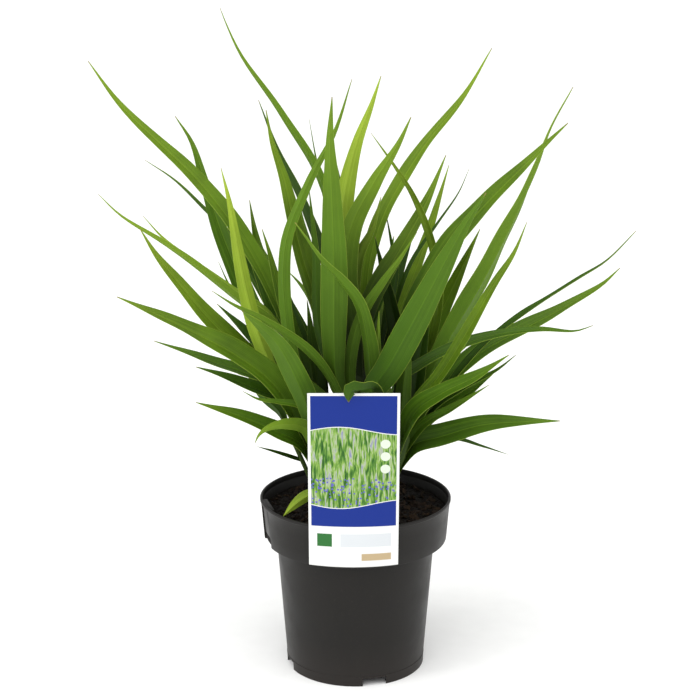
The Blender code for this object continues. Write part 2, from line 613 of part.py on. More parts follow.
def turned(name, profile, sides, where, look=None):
    """A closed profile of (radius, height) turned about the pot's axis."""
    mesh = bpy.data.meshes.new(name)
    count = len(profile)
    points = [(radius, 0, z) for radius, z in profile]
    mesh.from_pydata(points, [(i, (i + 1) % count) for i in range(count)], [])
    made = solid(name, mesh, where, look)
    screw = made.modifiers.new("Turn", "SCREW")
    screw.steps = screw.render_steps = sides
    screw.merge_threshold = 0.0001
    screw.use_merge_vertices = True
    apply_all(made)
    face_outward(made.data)
    return made


def block(name, size, place, turn, where, lean=0.0):
    """A box with these sides, its middle at (radius, height), its top leaning outward, turned about the pot's
    axis from the front."""
    mesh = bpy.data.meshes.new(name)
    work = bmesh.new()
    bmesh.ops.create_cube(work, size=1)
    radius, height = place
    bmesh.ops.scale(work, verts=work.verts, vec=size)
    bmesh.ops.rotate(work, verts=work.verts, matrix=Matrix.Rotation(lean, 3, "X"))
    bmesh.ops.translate(work, verts=work.verts, vec=(0, -radius, height))
    bmesh.ops.rotate(work, verts=work.verts, matrix=Matrix.Rotation(math.radians(turn), 3, "Z"))
    work.to_mesh(mesh)
    work.free()
    return solid(name, mesh, where)


def drain_peg(name, x, y, where):
    """An upright round cutter through the pot's floor."""
    mesh = bpy.data.meshes.new(name)
    work = bmesh.new()
    wide = DRAIN_RADIUS
    bmesh.ops.create_cone(work, cap_ends=True, segments=12, radius1=wide, radius2=wide, depth=0.016)
    bmesh.ops.translate(work, verts=work.verts, vec=(x, y, FLOOR_TOP))
    work.to_mesh(mesh)
    work.free()
    return solid(name, mesh, where)


def combine(made, others, operation):
    """One Boolean with each of the others, applied in turn. The others stay as hidden wire helpers."""
    for other in others:
        change = made.modifiers.new(other.name, "BOOLEAN")
        change.operation = operation
        change.solver = "EXACT"
        change.object = helper(other)
        apply_all(made)


def loft(name, rings, where, look=None):
    """A solid through rings of the same number of points. Its first and second half are split alike, so the two
    faces of a blade match and it is equally thick all over."""
    mesh = bpy.data.meshes.new(name)
    size = len(rings[0])
    points = [tuple(point) for ring in rings for point in ring]
    faces = []
    for ring in range(len(rings) - 1):
        for i in range(size):
            j = (i + 1) % size
            a = ring * size + i
            b = ring * size + j
            c = a + size
            d = b + size
            faces += [(a, b, d), (a, d, c)] if i < size // 2 else [(a, b, c), (b, d, c)]
    faces.append(tuple(range(size))[::-1])
    faces.append(tuple((len(rings) - 1) * size + i for i in range(size)))
    mesh.from_pydata(points, [], faces)
    made = solid(name, mesh, where, look)
    work = bmesh.new()
    work.from_mesh(mesh)
    bmesh.ops.triangulate(work, faces=[f for f in work.faces if len(f.verts) > 3])
    bmesh.ops.recalc_face_normals(work, faces=work.faces)
    work.to_mesh(mesh)
    work.free()
    return made


def blade_solid(name, blade, where):
    """One gutter-shaped blade: three points on its upper face and three on its lower one at each station."""
    lines = blade_lines(blade)
    fold = np.radians(along(FOLD_ALONG, blade["stations"]))
    rings = []
    for k in range(len(STATIONS)):
        left, middle, right = (line[k] for line in lines)
        lift = blade["upward"][k] / math.cos(fold[k]) / 2
        edge = lift * EDGE_THICK
        rib = lift * MIDRIB_THICK
        rings.append((left + edge, middle + rib, right + edge, right - edge, middle - rib, left - edge))
    return loft(name, rings, where)


def stem_rings(name, spare=0.0):
    """Rings of the flattened stem of wrapped leaf bases, from inside the soil up to where the fan opens."""
    _, top, wide, deep = SHOOTS[name]
    low = stem_point(name, 0)
    lean = np.array(top) - low
    rings = []
    outline = ((None, 0.85), (0.0, 0.90), (0.35, 1.0), (0.75, 1.05), (1.0, 0.66))
    for share, swell in outline:
        middle = low - np.array((0, 0, 0.014 + spare)) if share is None else low + lean * share
        ring = []
        for i in range(8):
            angle = math.radians(45 * i + 22.5)
            side = ((wide * swell + spare) * math.cos(angle), (deep * swell + spare) * math.sin(angle), 0)
            ring.append(middle + np.array(side))
        rings.append(ring)
    return rings


def keep_main_shell(mesh):
    """Drops loose scraps and the walls of sealed hollows, so that one closed body is left."""
    work = bmesh.new()
    work.from_mesh(mesh)
    seen = set()
    shells = []
    for start in work.verts:
        if start in seen:
            continue
        group = []
        stack = [start]
        seen.add(start)
        while stack:
            vert = stack.pop()
            group.append(vert)
            for edge in vert.link_edges:
                other = edge.other_vert(vert)
                if other not in seen:
                    seen.add(other)
                    stack.append(other)
        shells.append(group)
    largest = max(shells, key=len)
    for group in shells:
        if group is not largest:
            bmesh.ops.delete(work, geom=group, context="VERTS")
    work.to_mesh(mesh)
    work.free()
    return len(shells) - 1


def make_pot(where, cutters, look):
    top_in = RIM_RADIUS - 0.0026
    collar_low = HEIGHT - COLLAR_HEIGHT
    profile = (
        (0.0, FLOOR_TOP - FLOOR_THICK),
        (BASE_RADIUS - 0.0030, FLOOR_TOP - FLOOR_THICK),
        (BASE_RADIUS - WALL, 0.0),
        (BASE_RADIUS, 0.0),
        (BODY_RADIUS, collar_low - 0.003),
        (BODY_RADIUS + 0.0025, collar_low),
        (COLLAR_LOW_RADIUS - 0.0010, collar_low),
        (COLLAR_LOW_RADIUS, collar_low + 0.0012),
        (COLLAR_TOP_RADIUS, HEIGHT - LIP_DROP),
        (RIM_RADIUS, HEIGHT - LIP_DROP + 0.0005),
        (RIM_RADIUS, HEIGHT - 0.0009),
        (RIM_RADIUS - 0.0010, HEIGHT),
        (top_in + 0.0005, HEIGHT - 0.0002),
        (top_in, HEIGHT - 0.0012),
        (COLLAR_LOW_RADIUS - WALL, collar_low + WALL),
        (BODY_RADIUS - WALL + 0.0012, collar_low + WALL),
        (BODY_RADIUS - WALL, collar_low - 0.0010),
        (BASE_RADIUS - WALL + 0.0006, FLOOR_TOP),
        (0.0, FLOOR_TOP),
    )
    pot = turned("pot", profile, POT_SIDES, where, look)
    notch_size = (NOTCH_WIDTH, 0.012, NOTCH_HEIGHT + 0.002)
    notch_place = (BASE_RADIUS - 0.001, NOTCH_HEIGHT / 2 - 0.002)
    notches = [block(f"foot_notch_{turn}", notch_size, notch_place, turn, cutters) for turn in FOOT_NOTCHES]
    combine(pot, notches, "DIFFERENCE")
    drains = [drain_peg("drain_hole_0", 0, 0, cutters)]
    for i in range(DRAIN_HOLES):
        angle = math.radians(360 / DRAIN_HOLES * i + 15)
        x = DRAIN_CIRCLE * math.cos(angle)
        y = DRAIN_CIRCLE * math.sin(angle)
        drains.append(drain_peg(f"drain_hole_{i + 1}", x, y, cutters))
    combine(pot, drains, "DIFFERENCE")
    low = collar_low - 0.0020
    high = HEIGHT - LIP_DROP - 0.0004
    backing_size = (POCKET_WIDTH + 0.004, 0.0058, high - collar_low + 0.0011)
    backing_place = (POCKET_RADIUS + 0.00145, (high + collar_low + 0.0019) / 2)
    backing = block("pocket_backing", backing_size, backing_place, POCKET_TURN, cutters, POCKET_LEAN)
    combine(pot, [backing], "UNION")
    recess_size = (POCKET_WIDTH, 0.012, high - low)
    recess_place = (POCKET_RADIUS + 0.006, (high + low) / 2)
    recess = block("pocket_recess", recess_size, recess_place, POCKET_TURN, cutters, POCKET_LEAN)
    combine(pot, [recess], "DIFFERENCE")
    tab_size = (TAB_WIDTH, 0.0016, TAB_DROP + 0.002)
    tab_place = (COLLAR_TOP_RADIUS - 0.0041, high + 0.0015 - TAB_DROP / 2)
    tab = block("pocket_tab", tab_size, tab_place, POCKET_TURN, cutters, TAB_LEAN)
    combine(pot, [tab], "UNION")
    return pot


def make_soil(where, cutters, look):
    wall = BODY_RADIUS - WALL - GAP
    collar_low = HEIGHT - COLLAR_HEIGHT + WALL
    rate = (COLLAR_TOP_RADIUS - COLLAR_LOW_RADIUS) / (COLLAR_HEIGHT - LIP_DROP)
    edge = COLLAR_LOW_RADIUS - WALL - GAP - 0.0001 + rate * (SOIL_LEVEL - collar_low)
    outline = (
        (0.0, FLOOR_TOP + GAP),
        (BASE_RADIUS - WALL + 0.0002, FLOOR_TOP + GAP),
        (wall - 0.0001, collar_low - 0.0020),
        (wall + 0.0010, collar_low + GAP + 0.0001),
        (COLLAR_LOW_RADIUS - WALL - GAP - 0.0001, collar_low + GAP + 0.0001),
        (edge - 0.0004, SOIL_LEVEL - 0.004),
    )
    rings = (1.0, 0.88, 0.72, 0.55, 0.37, 0.19, 0.0)
    top = tuple((edge * share - 0.0003 if share else 0.0, SOIL_LEVEL) for share in rings)
    soil = turned("soil", outline + top, SOIL_SIDES, where, look)
    chance = np.random.default_rng(SEED + 3)
    waves = [(chance.uniform(60, 420), chance.uniform(0, 6.3), chance.uniform(0, 6.3)) for _ in range(14)]
    for vert in soil.data.vertices:
        if vert.co.z > SOIL_LEVEL - 0.0005:
            swell = 0.0
            for rate, way, late in waves:
                swell += math.sin(rate * (vert.co.x * math.cos(way) + vert.co.y * math.sin(way)) + late)
            vert.co.z += SOIL_BUMP * swell / 3.6
    holes = [loft(f"hole_{name}", stem_rings(name, 0.0004)[:3], cutters) for name in SHOOTS]
    slot = strip("stake_slot", STAKE_WIDTH + 0.0010, STAKE_THICK + 0.0010, cutters, below=0.001)
    recess_size = (POCKET_WIDTH + 0.006, 0.012, 0.060)
    recess_place = (POCKET_RADIUS + 0.0041, 0.155)
    recess = block("soil_recess", recess_size, recess_place, POCKET_TURN, cutters, POCKET_LEAN)
    combine(soil, holes + [slot, recess], "DIFFERENCE")
    return soil


def make_card(where, look):
    mesh = bpy.data.meshes.new("plant_label")
    work = bmesh.new()
    bmesh.ops.create_grid(work, x_segments=8, y_segments=6, size=0.5)
    for vert in work.verts:
        vert.co = Vector(card_point(vert.co.x, vert.co.y + 0.5))
    work.to_mesh(mesh)
    work.free()
    made = solid("plant_label", mesh, where, look)
    thick = made.modifiers.new("Thickness", "SOLIDIFY")
    thick.thickness = CARD_THICK
    thick.offset = 0
    apply_all(made)
    face_outward(made.data)
    return made


def strip(name, width, thickness, where, look=None, below=0.0):
    """The stake's bent strip, or a larger copy of it to cut its slot."""
    path = curve_through([(-0.002, y, z) for y, z in STAKE_PATH], 11)
    path[-1, 2] -= below
    points = [(x + side * width / 2, y, z) for x, y, z in path for side in (-1, 1)]
    faces = [(2 * i, 2 * i + 1, 2 * i + 3, 2 * i + 2) for i in range(len(path) - 1)]
    mesh = bpy.data.meshes.new(name)
    mesh.from_pydata([tuple(map(float, p)) for p in points], [], faces)
    made = solid(name, mesh, where, look)
    thick = made.modifiers.new("Thickness", "SOLIDIFY")
    thick.thickness = thickness
    thick.offset = 0
    apply_all(made)
    face_outward(made.data)
    return made


def make_shoot(name, blades, where, look):
    """The stem with every blade of its fan fused in by one union on a collection."""
    shoot = loft(name, stem_rings(name), where, look)
    fan = collection(f"fan_{name}")
    for number, blade in enumerate(blades):
        blade_solid(f"{name}_blade_{number:02d}", blade, fan)
    join = shoot.modifiers.new("Fan", "BOOLEAN")
    join.operation = "UNION"
    join.operand_type = "COLLECTION"
    join.collection = fan
    join.solver = "EXACT"
    apply_all(shoot)
    for other in list(fan.objects):
        bpy.data.objects.remove(other, do_unlink=True)
    bpy.data.collections.remove(fan)
    dropped = keep_main_shell(shoot.data)
    print(name, len(blades), "blades,", len(shoot.data.polygons), "faces,", dropped, "scraps dropped")
    return shoot


for old in list(bpy.data.objects):
    bpy.data.objects.remove(old, do_unlink=True)
parts = collection("parts")
cutters = collection("cutters")
make_pot(parts, cutters, material("pot_plastic", (0.035, 0.033, 0.031), 0.38))
make_soil(parts, cutters, material("potting_soil", (0.022, 0.014, 0.010), 0.95))
make_card(parts, material("label_card", (0.80, 0.82, 0.86), 0.35))
strip("label_stake", STAKE_WIDTH, STAKE_THICK, parts, material("label_stake", (0.85, 0.85, 0.83), 0.40))
blades = all_blades()
for turn in range(3):
    lack, most = bend_clear(blades)
    print(f"clearing {turn}: short by {lack * 1000:.2f} mm, largest shift {most * 1000:.1f} mm")
    for blade in blades:
        blade["across"], blade["upward"] = blade_frame(blade["spine"], blade["turns"])
for name in SHOOTS:
    look = material(f"{name}_leaf", (0.10, 0.22, 0.035), 0.42)
    make_shoot(name, [blade for blade in blades if blade["shoot"] == name], parts, look)
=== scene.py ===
# %% [markdown]
# # A flax lily in a nursery pot
# The plant is a clump of strap leaves. They grow in flat fans from nine stems and two young sprouts, in a
# moulded black pot, and a printed card leans on the pot's collar.
#
# The CAD model already holds each of these as a solid, at its real size and place. This lesson loads that
# model and dresses it: finer leaves, loose soil, a rounder pot and the card's print. Nothing is moved.

# %% Load the CAD model
import math

import bpy
import numpy as np
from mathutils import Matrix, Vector
from mathutils.bvhtree import BVHTree


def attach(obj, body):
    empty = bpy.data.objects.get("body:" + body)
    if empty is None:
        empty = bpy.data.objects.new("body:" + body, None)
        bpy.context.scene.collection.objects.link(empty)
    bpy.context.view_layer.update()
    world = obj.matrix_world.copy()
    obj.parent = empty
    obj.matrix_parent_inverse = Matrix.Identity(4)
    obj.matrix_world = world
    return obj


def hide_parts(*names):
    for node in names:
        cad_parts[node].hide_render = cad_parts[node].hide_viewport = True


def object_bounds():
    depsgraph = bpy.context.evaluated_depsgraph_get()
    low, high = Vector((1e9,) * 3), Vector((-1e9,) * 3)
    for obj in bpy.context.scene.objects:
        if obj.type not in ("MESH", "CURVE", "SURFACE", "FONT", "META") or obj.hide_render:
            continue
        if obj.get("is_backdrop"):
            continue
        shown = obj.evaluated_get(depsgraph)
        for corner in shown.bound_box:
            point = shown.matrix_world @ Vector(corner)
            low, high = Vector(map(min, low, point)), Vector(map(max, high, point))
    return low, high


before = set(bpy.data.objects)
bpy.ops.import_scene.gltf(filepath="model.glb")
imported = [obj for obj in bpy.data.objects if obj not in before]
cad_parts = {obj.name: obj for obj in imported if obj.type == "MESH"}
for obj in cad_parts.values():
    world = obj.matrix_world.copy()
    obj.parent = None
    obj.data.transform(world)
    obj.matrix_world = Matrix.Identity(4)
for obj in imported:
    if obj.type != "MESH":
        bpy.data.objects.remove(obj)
cad_box = [list(corner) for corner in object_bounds()]
bpy.ops.object.select_all(action="DESELECT")
print("CAD box in metres", [[round(value, 4) for value in corner] for corner in cad_box])

# %% [markdown]
# ## The camera
# The photograph looks a little down on the plant, from about 1.7 m away, with the lens of a portrait. That
# view was found from the ellipses of the rim, the collar and the foot, whose real sizes are known. Its picture
# is taken as a sheet of 700 by 700 squares, and its scale is the focal length in those squares. The camera
# comes first, because each leaf below is laid out by the place where this view shows it.

# %% Set up the camera
VIEW_X = -0.00545
VIEW_BACK = 1.6965
VIEW_UP = 0.776
VIEW_DOWN = 0.260
VIEW_SCALE = 1800.0
SHEET_MIDDLE = 350.0

bpy.ops.object.camera_add(location=(VIEW_X, -VIEW_BACK, VIEW_UP), rotation=(math.pi / 2 - VIEW_DOWN, 0, 0))
camera = bpy.context.object
camera.name = "camera"
camera.data.sensor_width = 36
camera.data.lens = VIEW_SCALE * camera.data.sensor_width / (2 * SHEET_MIDDLE)
camera.data.clip_end = 200
bpy.context.scene.camera = camera
print("lens", round(camera.data.lens, 2), "mm")

# %% [markdown]
# ## Small helpers
# An operator acts on all that is selected, so one helper selects a single piece first. A second one finishes
# a primitive: it names it and puts its place in its mesh, which leaves the object itself at the origin. Others
# copy a model, join copies and raise a wall ring by ring. Colours are written as sRGB hex values, as a paint
# program shows them, and shaders want linear light, so one function turns the one into the other. One more
# adds any shader node with its settings and links.

# %% Helpers for pieces
def only(piece):
    bpy.ops.object.select_all(action="DESELECT")
    piece.select_set(True)
    bpy.context.view_layer.objects.active = piece
    return piece


def named(name):
    """Names the piece that was just made and puts its place, turn and size in its mesh."""
    piece = only(bpy.context.object)
    piece.name = name
    piece.data.name = name
    bpy.ops.object.transform_apply(location=True, rotation=True, scale=True)
    return piece


def edit(piece):
    """Enters edit mode with nothing selected."""
    only(piece)
    bpy.ops.object.mode_set(mode="EDIT")
    bpy.ops.mesh.select_mode(type="VERT")
    bpy.ops.mesh.select_all(action="DESELECT")


def finish_edit():
    """Turns every face outward and leaves edit mode."""
    bpy.ops.mesh.select_all(action="SELECT")
    bpy.ops.mesh.normals_make_consistent(inside=False)
    bpy.ops.object.mode_set(mode="OBJECT")


def finish_with(piece, kind, **settings):
    """Adds a modifier with these settings and applies it."""
    only(piece)
    change = piece.modifiers.new(kind.title(), kind)
    for name, value in settings.items():
        setattr(change, name, value)
    bpy.ops.object.modifier_apply(modifier=change.name)


def copy_of(model, name):
    """A copy of the model with a mesh of its own."""
    made = bpy.data.objects.new(name, model.data.copy())
    bpy.context.collection.objects.link(made)
    return made


def joined(parts, name):
    """These parts as one piece with this name."""
    bpy.ops.object.select_all(action="DESELECT")
    for part in parts:
        part.select_set(True)
    bpy.context.view_layer.objects.active = parts[0]
    bpy.ops.object.join()
    return named(name)


def raise_rings(radius, height, rings):
    """Extrudes the selected ring, which has this radius and height, to each next one, and closes the last."""
    for next_radius, next_height in rings:
        bpy.ops.mesh.extrude_region_move(TRANSFORM_OT_translate={"value": (0, 0, next_height - height)})
        ratio = next_radius / radius
        bpy.ops.transform.resize(value=(ratio, ratio, 1), center_override=(0, 0, 0))
        radius, height = next_radius, next_height
    bpy.ops.mesh.edge_face_add()


def points_of(piece):
    points = np.empty(len(piece.data.vertices) * 3)
    piece.data.vertices.foreach_get("co", points)
    return points.reshape(-1, 3)


def set_points(mesh, points):
    mesh.vertices.foreach_set("co", np.ascontiguousarray(points, dtype=np.float32).ravel())
    mesh.update()


# %% Helpers for materials
def linear(hex_colour):
    """A shader colour from an sRGB hex value."""
    shares = [int(hex_colour[i : i + 2], 16) / 255 for i in (1, 3, 5)]
    return tuple(s / 12.92 if s <= 0.04045 else ((s + 0.055) / 1.055) ** 2.4 for s in shares) + (1.0,)


def add(tree, kind, links=(), out=None, stops=None, **settings):
    """Adds a node and returns its output.

    links gives an input, by its name or its number, a socket or a value. stops are the colours of a ramp.
    """
    made = tree.nodes.new("ShaderNode" + kind)
    for name, value in settings.items():
        setattr(made, name, value)
    for place, value in dict(links).items():
        by_name = [s for s in made.inputs if s.name == place and s.enabled]
        socket = made.inputs[place] if isinstance(place, int) else by_name[0]
        if isinstance(value, bpy.types.NodeSocket):
            tree.links.new(value, socket)
        else:
            socket.default_value = value
    if stops:
        ramp = made.color_ramp.elements
        while len(ramp) < len(stops):
            ramp.new(1.0)
        for element, (place, colour) in zip(ramp, stops):
            element.position = place
            element.color = linear(colour)
    return next(s for s in made.outputs if s.enabled and out in (None, s.name))


def new_material(name, **constants):
    """A material with its tree and its Principled shader, whose constant sockets are set."""
    made = bpy.data.materials.new(name)
    made.use_nodes = True
    shader = made.node_tree.nodes["Principled BSDF"]
    for socket, value in constants.items():
        shader.inputs[socket.replace("_", " ")].default_value = value
    return made, made.node_tree, shader


def drive(tree, shader, **sockets):
    """Links each of the shader's named inputs to an output."""
    for name, output in sockets.items():
        tree.links.new(output, shader.inputs[name.replace("_", " ")])


pieces = []


def keep(piece, replaced=(), finish=None):
    """Fastens a finished piece to the CAD model's one body and gives it its finish."""
    if finish:
        piece.data.materials.clear()
        piece.data.materials.append(finish)
    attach(piece, "root")
    if replaced:
        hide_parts(*replaced)
    piece.data.calc_loop_triangles()
    pieces.append(piece)
    print(piece.name, len(piece.data.loop_triangles), "triangles")


# %% [markdown]
# ## The pot
# Nursery pots are injection moulded from black polypropylene, about 1.6 mm thick. The wall tapers so that the
# pot leaves its mould, and a wide collar stiffens the rim. A lathe profile is one way to model it. Here the
# wall is drawn as by hand: one circle is extruded again and again, up the outside, over the lip and down the
# inside, because each ring then stands for one corner that the mould gives the real wall.

# %% Raise the pot's wall ring by ring
POT_HEIGHT = 0.1753
RIM_RADIUS = 0.0950
COLLAR_HEIGHT = 0.0430
COLLAR_TOP_RADIUS = 0.0942
COLLAR_LOW_RADIUS = 0.0909
BODY_RADIUS = 0.0785
BASE_RADIUS = 0.0690
WALL = 0.0016
FLOOR_LOW = 0.0080
FLOOR_TOP = 0.0100
POT_SIDES = 144
COLLAR_LOW = POT_HEIGHT - COLLAR_HEIGHT

outside = [
    (BASE_RADIUS - 0.0030, FLOOR_LOW), (BASE_RADIUS - 0.0014, 0.0060), (BASE_RADIUS - WALL, 0.0003),
    (BASE_RADIUS - WALL + 0.0003, 0.0), (BASE_RADIUS - 0.0003, 0.0), (BASE_RADIUS, 0.0003),
    (BASE_RADIUS + 0.0004, 0.0085), (BASE_RADIUS + 0.0006, 0.0098), (BASE_RADIUS + 0.0002, 0.0101),
]
body_foot = np.array((BASE_RADIUS + 0.0004, 0.0115))
body_head = np.array((BODY_RADIUS, COLLAR_LOW - 0.0042))
for share in (0.0, 0.12, 0.3, 0.5, 0.7, 0.88, 1.0):
    outside.append(tuple(body_foot + (body_head - body_foot) * share))
outside += [
    (BODY_RADIUS + 0.0003, COLLAR_LOW - 0.0020), (BODY_RADIUS + 0.0010, COLLAR_LOW - 0.0006),
    (BODY_RADIUS + 0.0024, COLLAR_LOW), (COLLAR_LOW_RADIUS - 0.0012, COLLAR_LOW),
    (COLLAR_LOW_RADIUS - 0.0004, COLLAR_LOW + 0.0004), (COLLAR_LOW_RADIUS, COLLAR_LOW + 0.0013),
    (COLLAR_LOW_RADIUS + 0.0010, COLLAR_LOW + 0.0130), (COLLAR_LOW_RADIUS + 0.0021, COLLAR_LOW + 0.0270),
    (COLLAR_TOP_RADIUS, POT_HEIGHT - 0.0035), (COLLAR_TOP_RADIUS + 0.0003, POT_HEIGHT - 0.0031),
]
lip = [
    (RIM_RADIUS - 0.0002, POT_HEIGHT - 0.0028), (RIM_RADIUS, POT_HEIGHT - 0.0024),
    (RIM_RADIUS, POT_HEIGHT - 0.0010), (RIM_RADIUS - 0.0003, POT_HEIGHT - 0.0004),
    (RIM_RADIUS - 0.0010, POT_HEIGHT), (RIM_RADIUS - 0.0017, POT_HEIGHT),
    (RIM_RADIUS - 0.0023, POT_HEIGHT - 0.0004), (RIM_RADIUS - 0.0027, POT_HEIGHT - 0.0014),
    (RIM_RADIUS - 0.0028, POT_HEIGHT - 0.0055), (RIM_RADIUS - 0.0033, POT_HEIGHT - 0.0062),
]
inside = [
    (COLLAR_LOW_RADIUS - WALL, COLLAR_LOW + WALL + 0.0008),
    (COLLAR_LOW_RADIUS - WALL - 0.001, COLLAR_LOW + WALL),
    (BODY_RADIUS - WALL + 0.0012, COLLAR_LOW + WALL), (BODY_RADIUS - WALL, COLLAR_LOW - 0.0010),
    (BASE_RADIUS - WALL + 0.0006, FLOOR_TOP), (0.050, FLOOR_TOP), (0.030, FLOOR_TOP), (0.010, FLOOR_TOP),
]
wall_rings = outside + lip + inside
bpy.ops.mesh.primitive_circle_add(vertices=POT_SIDES, radius=0.010, location=(0, 0, FLOOR_LOW))
pot = named("nursery_pot")
edit(pot)
bpy.ops.mesh.select_all(action="SELECT")
raise_rings(0.010, FLOOR_LOW, [(0.030, FLOOR_LOW), (0.050, FLOOR_LOW)] + wall_rings)
bpy.ops.mesh.select_all(action="DESELECT")
bpy.ops.mesh.select_non_manifold()
bpy.ops.mesh.edge_face_add()
finish_edit()
print("pot", len(wall_rings), "rings, top at", round(points_of(pot)[:, 2].max(), 4))

# %% [markdown]
# ## Cuts in the pot
# Water leaves through seven holes in the floor and four notches in the foot, and a pocket in the collar holds
# a plain tag. The mould makes these with its own steel, so Boolean cutters are the nearest thing: each is a
# primitive at its real size. The pocket's back wall and the tag are joined on in the same way. A cutter is
# removed once it has cut.

# %% Cut the notches, the drain holes and the pocket
NOTCH_TURNS = (16, 106, 196, 286)
NOTCH_WIDTH = 0.0240
NOTCH_HEIGHT = 0.0080
DRAIN_RADIUS = 0.0050
DRAIN_CIRCLE = 0.0470
POCKET_TURN = -75
POCKET_WIDTH = 0.0300
TAB_WIDTH = 0.0200
TAB_DROP = 0.0310
POCKET_RADIUS = 0.0863
POCKET_LEAN = math.radians(4.7)
TAB_LEAN = math.radians(5.4)


def block(name, size, radius, height, turn, rounding, lean=0.0):
    """A box with rounded edges, its top leaning outward, turned about the pot's axis from the front."""
    angle = math.radians(turn)
    place = (radius * math.sin(angle), -radius * math.cos(angle), height)
    bpy.ops.mesh.primitive_cube_add(size=1, location=place, rotation=(lean, 0, angle), scale=size)
    made = named(name)
    finish_with(made, "BEVEL", width=rounding, segments=2)
    return made


def combine(piece, other, operation):
    finish_with(piece, "BOOLEAN", object=other, operation=operation, solver="EXACT")
    bpy.data.objects.remove(other)


for turn in NOTCH_TURNS:
    size = (NOTCH_WIDTH, 0.012, NOTCH_HEIGHT + 0.004)
    notch = block("notch", size, BASE_RADIUS - 0.001, NOTCH_HEIGHT / 2 - 0.002, turn, 0.0008)
    combine(pot, notch, "DIFFERENCE")
drain_places = [(0.0, 0.0)]
for turn in range(15, 360, 60):
    angle = math.radians(turn)
    drain_places.append((DRAIN_CIRCLE * math.cos(angle), DRAIN_CIRCLE * math.sin(angle)))
for x, y in drain_places:
    bpy.ops.mesh.primitive_cylinder_add(vertices=24, radius=DRAIN_RADIUS, depth=0.016,
                                        location=(x, y, FLOOR_TOP))
    combine(pot, named("drain"), "DIFFERENCE")
pocket_low, pocket_high = COLLAR_LOW - 0.0020, POT_HEIGHT - 0.0036
size = (POCKET_WIDTH + 0.004, 0.0058, pocket_high - COLLAR_LOW + 0.0011)
middle = (pocket_high + COLLAR_LOW + 0.0019) / 2
backing = block("backing", size, POCKET_RADIUS + 0.00145, middle, POCKET_TURN, 0.0003, POCKET_LEAN)
combine(pot, backing, "UNION")
size = (POCKET_WIDTH, 0.012, pocket_high - pocket_low)
middle = (pocket_high + pocket_low) / 2
pocket = block("pocket", size, POCKET_RADIUS + 0.006, middle, POCKET_TURN, 0.0005, POCKET_LEAN)
combine(pot, pocket, "DIFFERENCE")
size = (TAB_WIDTH, 0.0016, TAB_DROP + 0.002)
middle = pocket_high + 0.0015 - TAB_DROP / 2
tab = block("tab", size, COLLAR_TOP_RADIUS - 0.0041, middle, POCKET_TURN, 0.0004, TAB_LEAN)
combine(pot, tab, "UNION")
only(pot)
bpy.ops.object.shade_smooth_by_angle(angle=math.radians(32))
print("pot", len(pot.data.polygons), "faces after the cuts")

# %% [markdown]
# ## The pot's finish
# Moulded polypropylene is a satin black with a fine, even texture from the steel. It shows grey where a soft
# light meets it at a low angle. Handling leaves it slightly duller in patches, and dust and splashes of soil
# lie on it. The texture's grain is 0.35 mm, drawn as 0.9 mm so that it shows in the render.

# %% Mix the moulded polypropylene
pot_finish, tree, shader = new_material("moulded_polypropylene", IOR=1.49, Specular_IOR_Level=0.20)
place = add(tree, "TexCoord", out="Object")
patches = add(tree, "TexNoise", {"Vector": place, "Scale": 38.0, "Detail": 3.0, "Roughness": 0.55})
grain = add(tree, "TexNoise", {"Vector": place, "Scale": 1100.0, "Detail": 2.0})
drawn_out = add(tree, "Mapping", {"Vector": place, "Scale": (260.0, 260.0, 9.0)})
rubs = add(tree, "TexNoise", {"Vector": drawn_out, "Scale": 1.0, "Detail": 3.0})
height = add(tree, "SeparateXYZ", {"Vector": place}, out="Z")
near_foot = add(tree, "MapRange", {"Value": height, "From Min": 0.045, "From Max": 0.0, "To Max": 0.55})
specks = add(tree, "TexNoise", {"Vector": place, "Scale": 420.0, "Detail": 4.0, "Roughness": 0.7})
dust = add(tree, "MapRange", {"Value": specks, "From Min": 0.60, "From Max": 0.80, "To Max": 0.35})
black = add(tree, "ValToRGB", {"Fac": patches}, stops=((0.30, "#171614"), (0.75, "#1d1b19")))
rubbed = add(tree, "Mix", {"Factor": rubs, "A": black, "B": linear("#1b1917")}, data_type="RGBA")
dusty = add(tree, "Mix", {"Factor": dust, "A": rubbed, "B": linear("#3d3732")}, data_type="RGBA")
splashed = add(tree, "Mix", {"Factor": near_foot, "A": dusty, "B": linear("#2c2724")}, data_type="RGBA")
rough = add(tree, "MapRange", {"Value": patches, "From Min": 0.3, "From Max": 0.7,
                               "To Min": 0.36, "To Max": 0.50})
bump = add(tree, "Bump", {"Strength": 0.22, "Distance": 0.0003, "Height": grain})
drive(tree, shader, Base_Color=splashed, Roughness=rough, Normal=bump)
keep(pot, ["pot"], pot_finish)

# %% [markdown]
# ## The soil
# Potting mix is loose: crumbs of peat and coir, with chips of composted bark. A flat disc would look like
# paint. The top here is a fine grid drawn into a disc. A Displace modifier raises and lowers it three times: in
# soft mounds, in lumps and in crumbs. Its rim is then extruded down the inside of the pot to close the plug.

# %% Model the plug of soil
SOIL_LEVEL = 0.1610
SOIL_RADIUS = 0.0903
SOIL_CELLS = 130
SOIL_WALL = ((0.0889, 0.1345), (0.0765, 0.1341), (0.0677, 0.0103))
MIDDLE_PART = "away_from_the_wall"

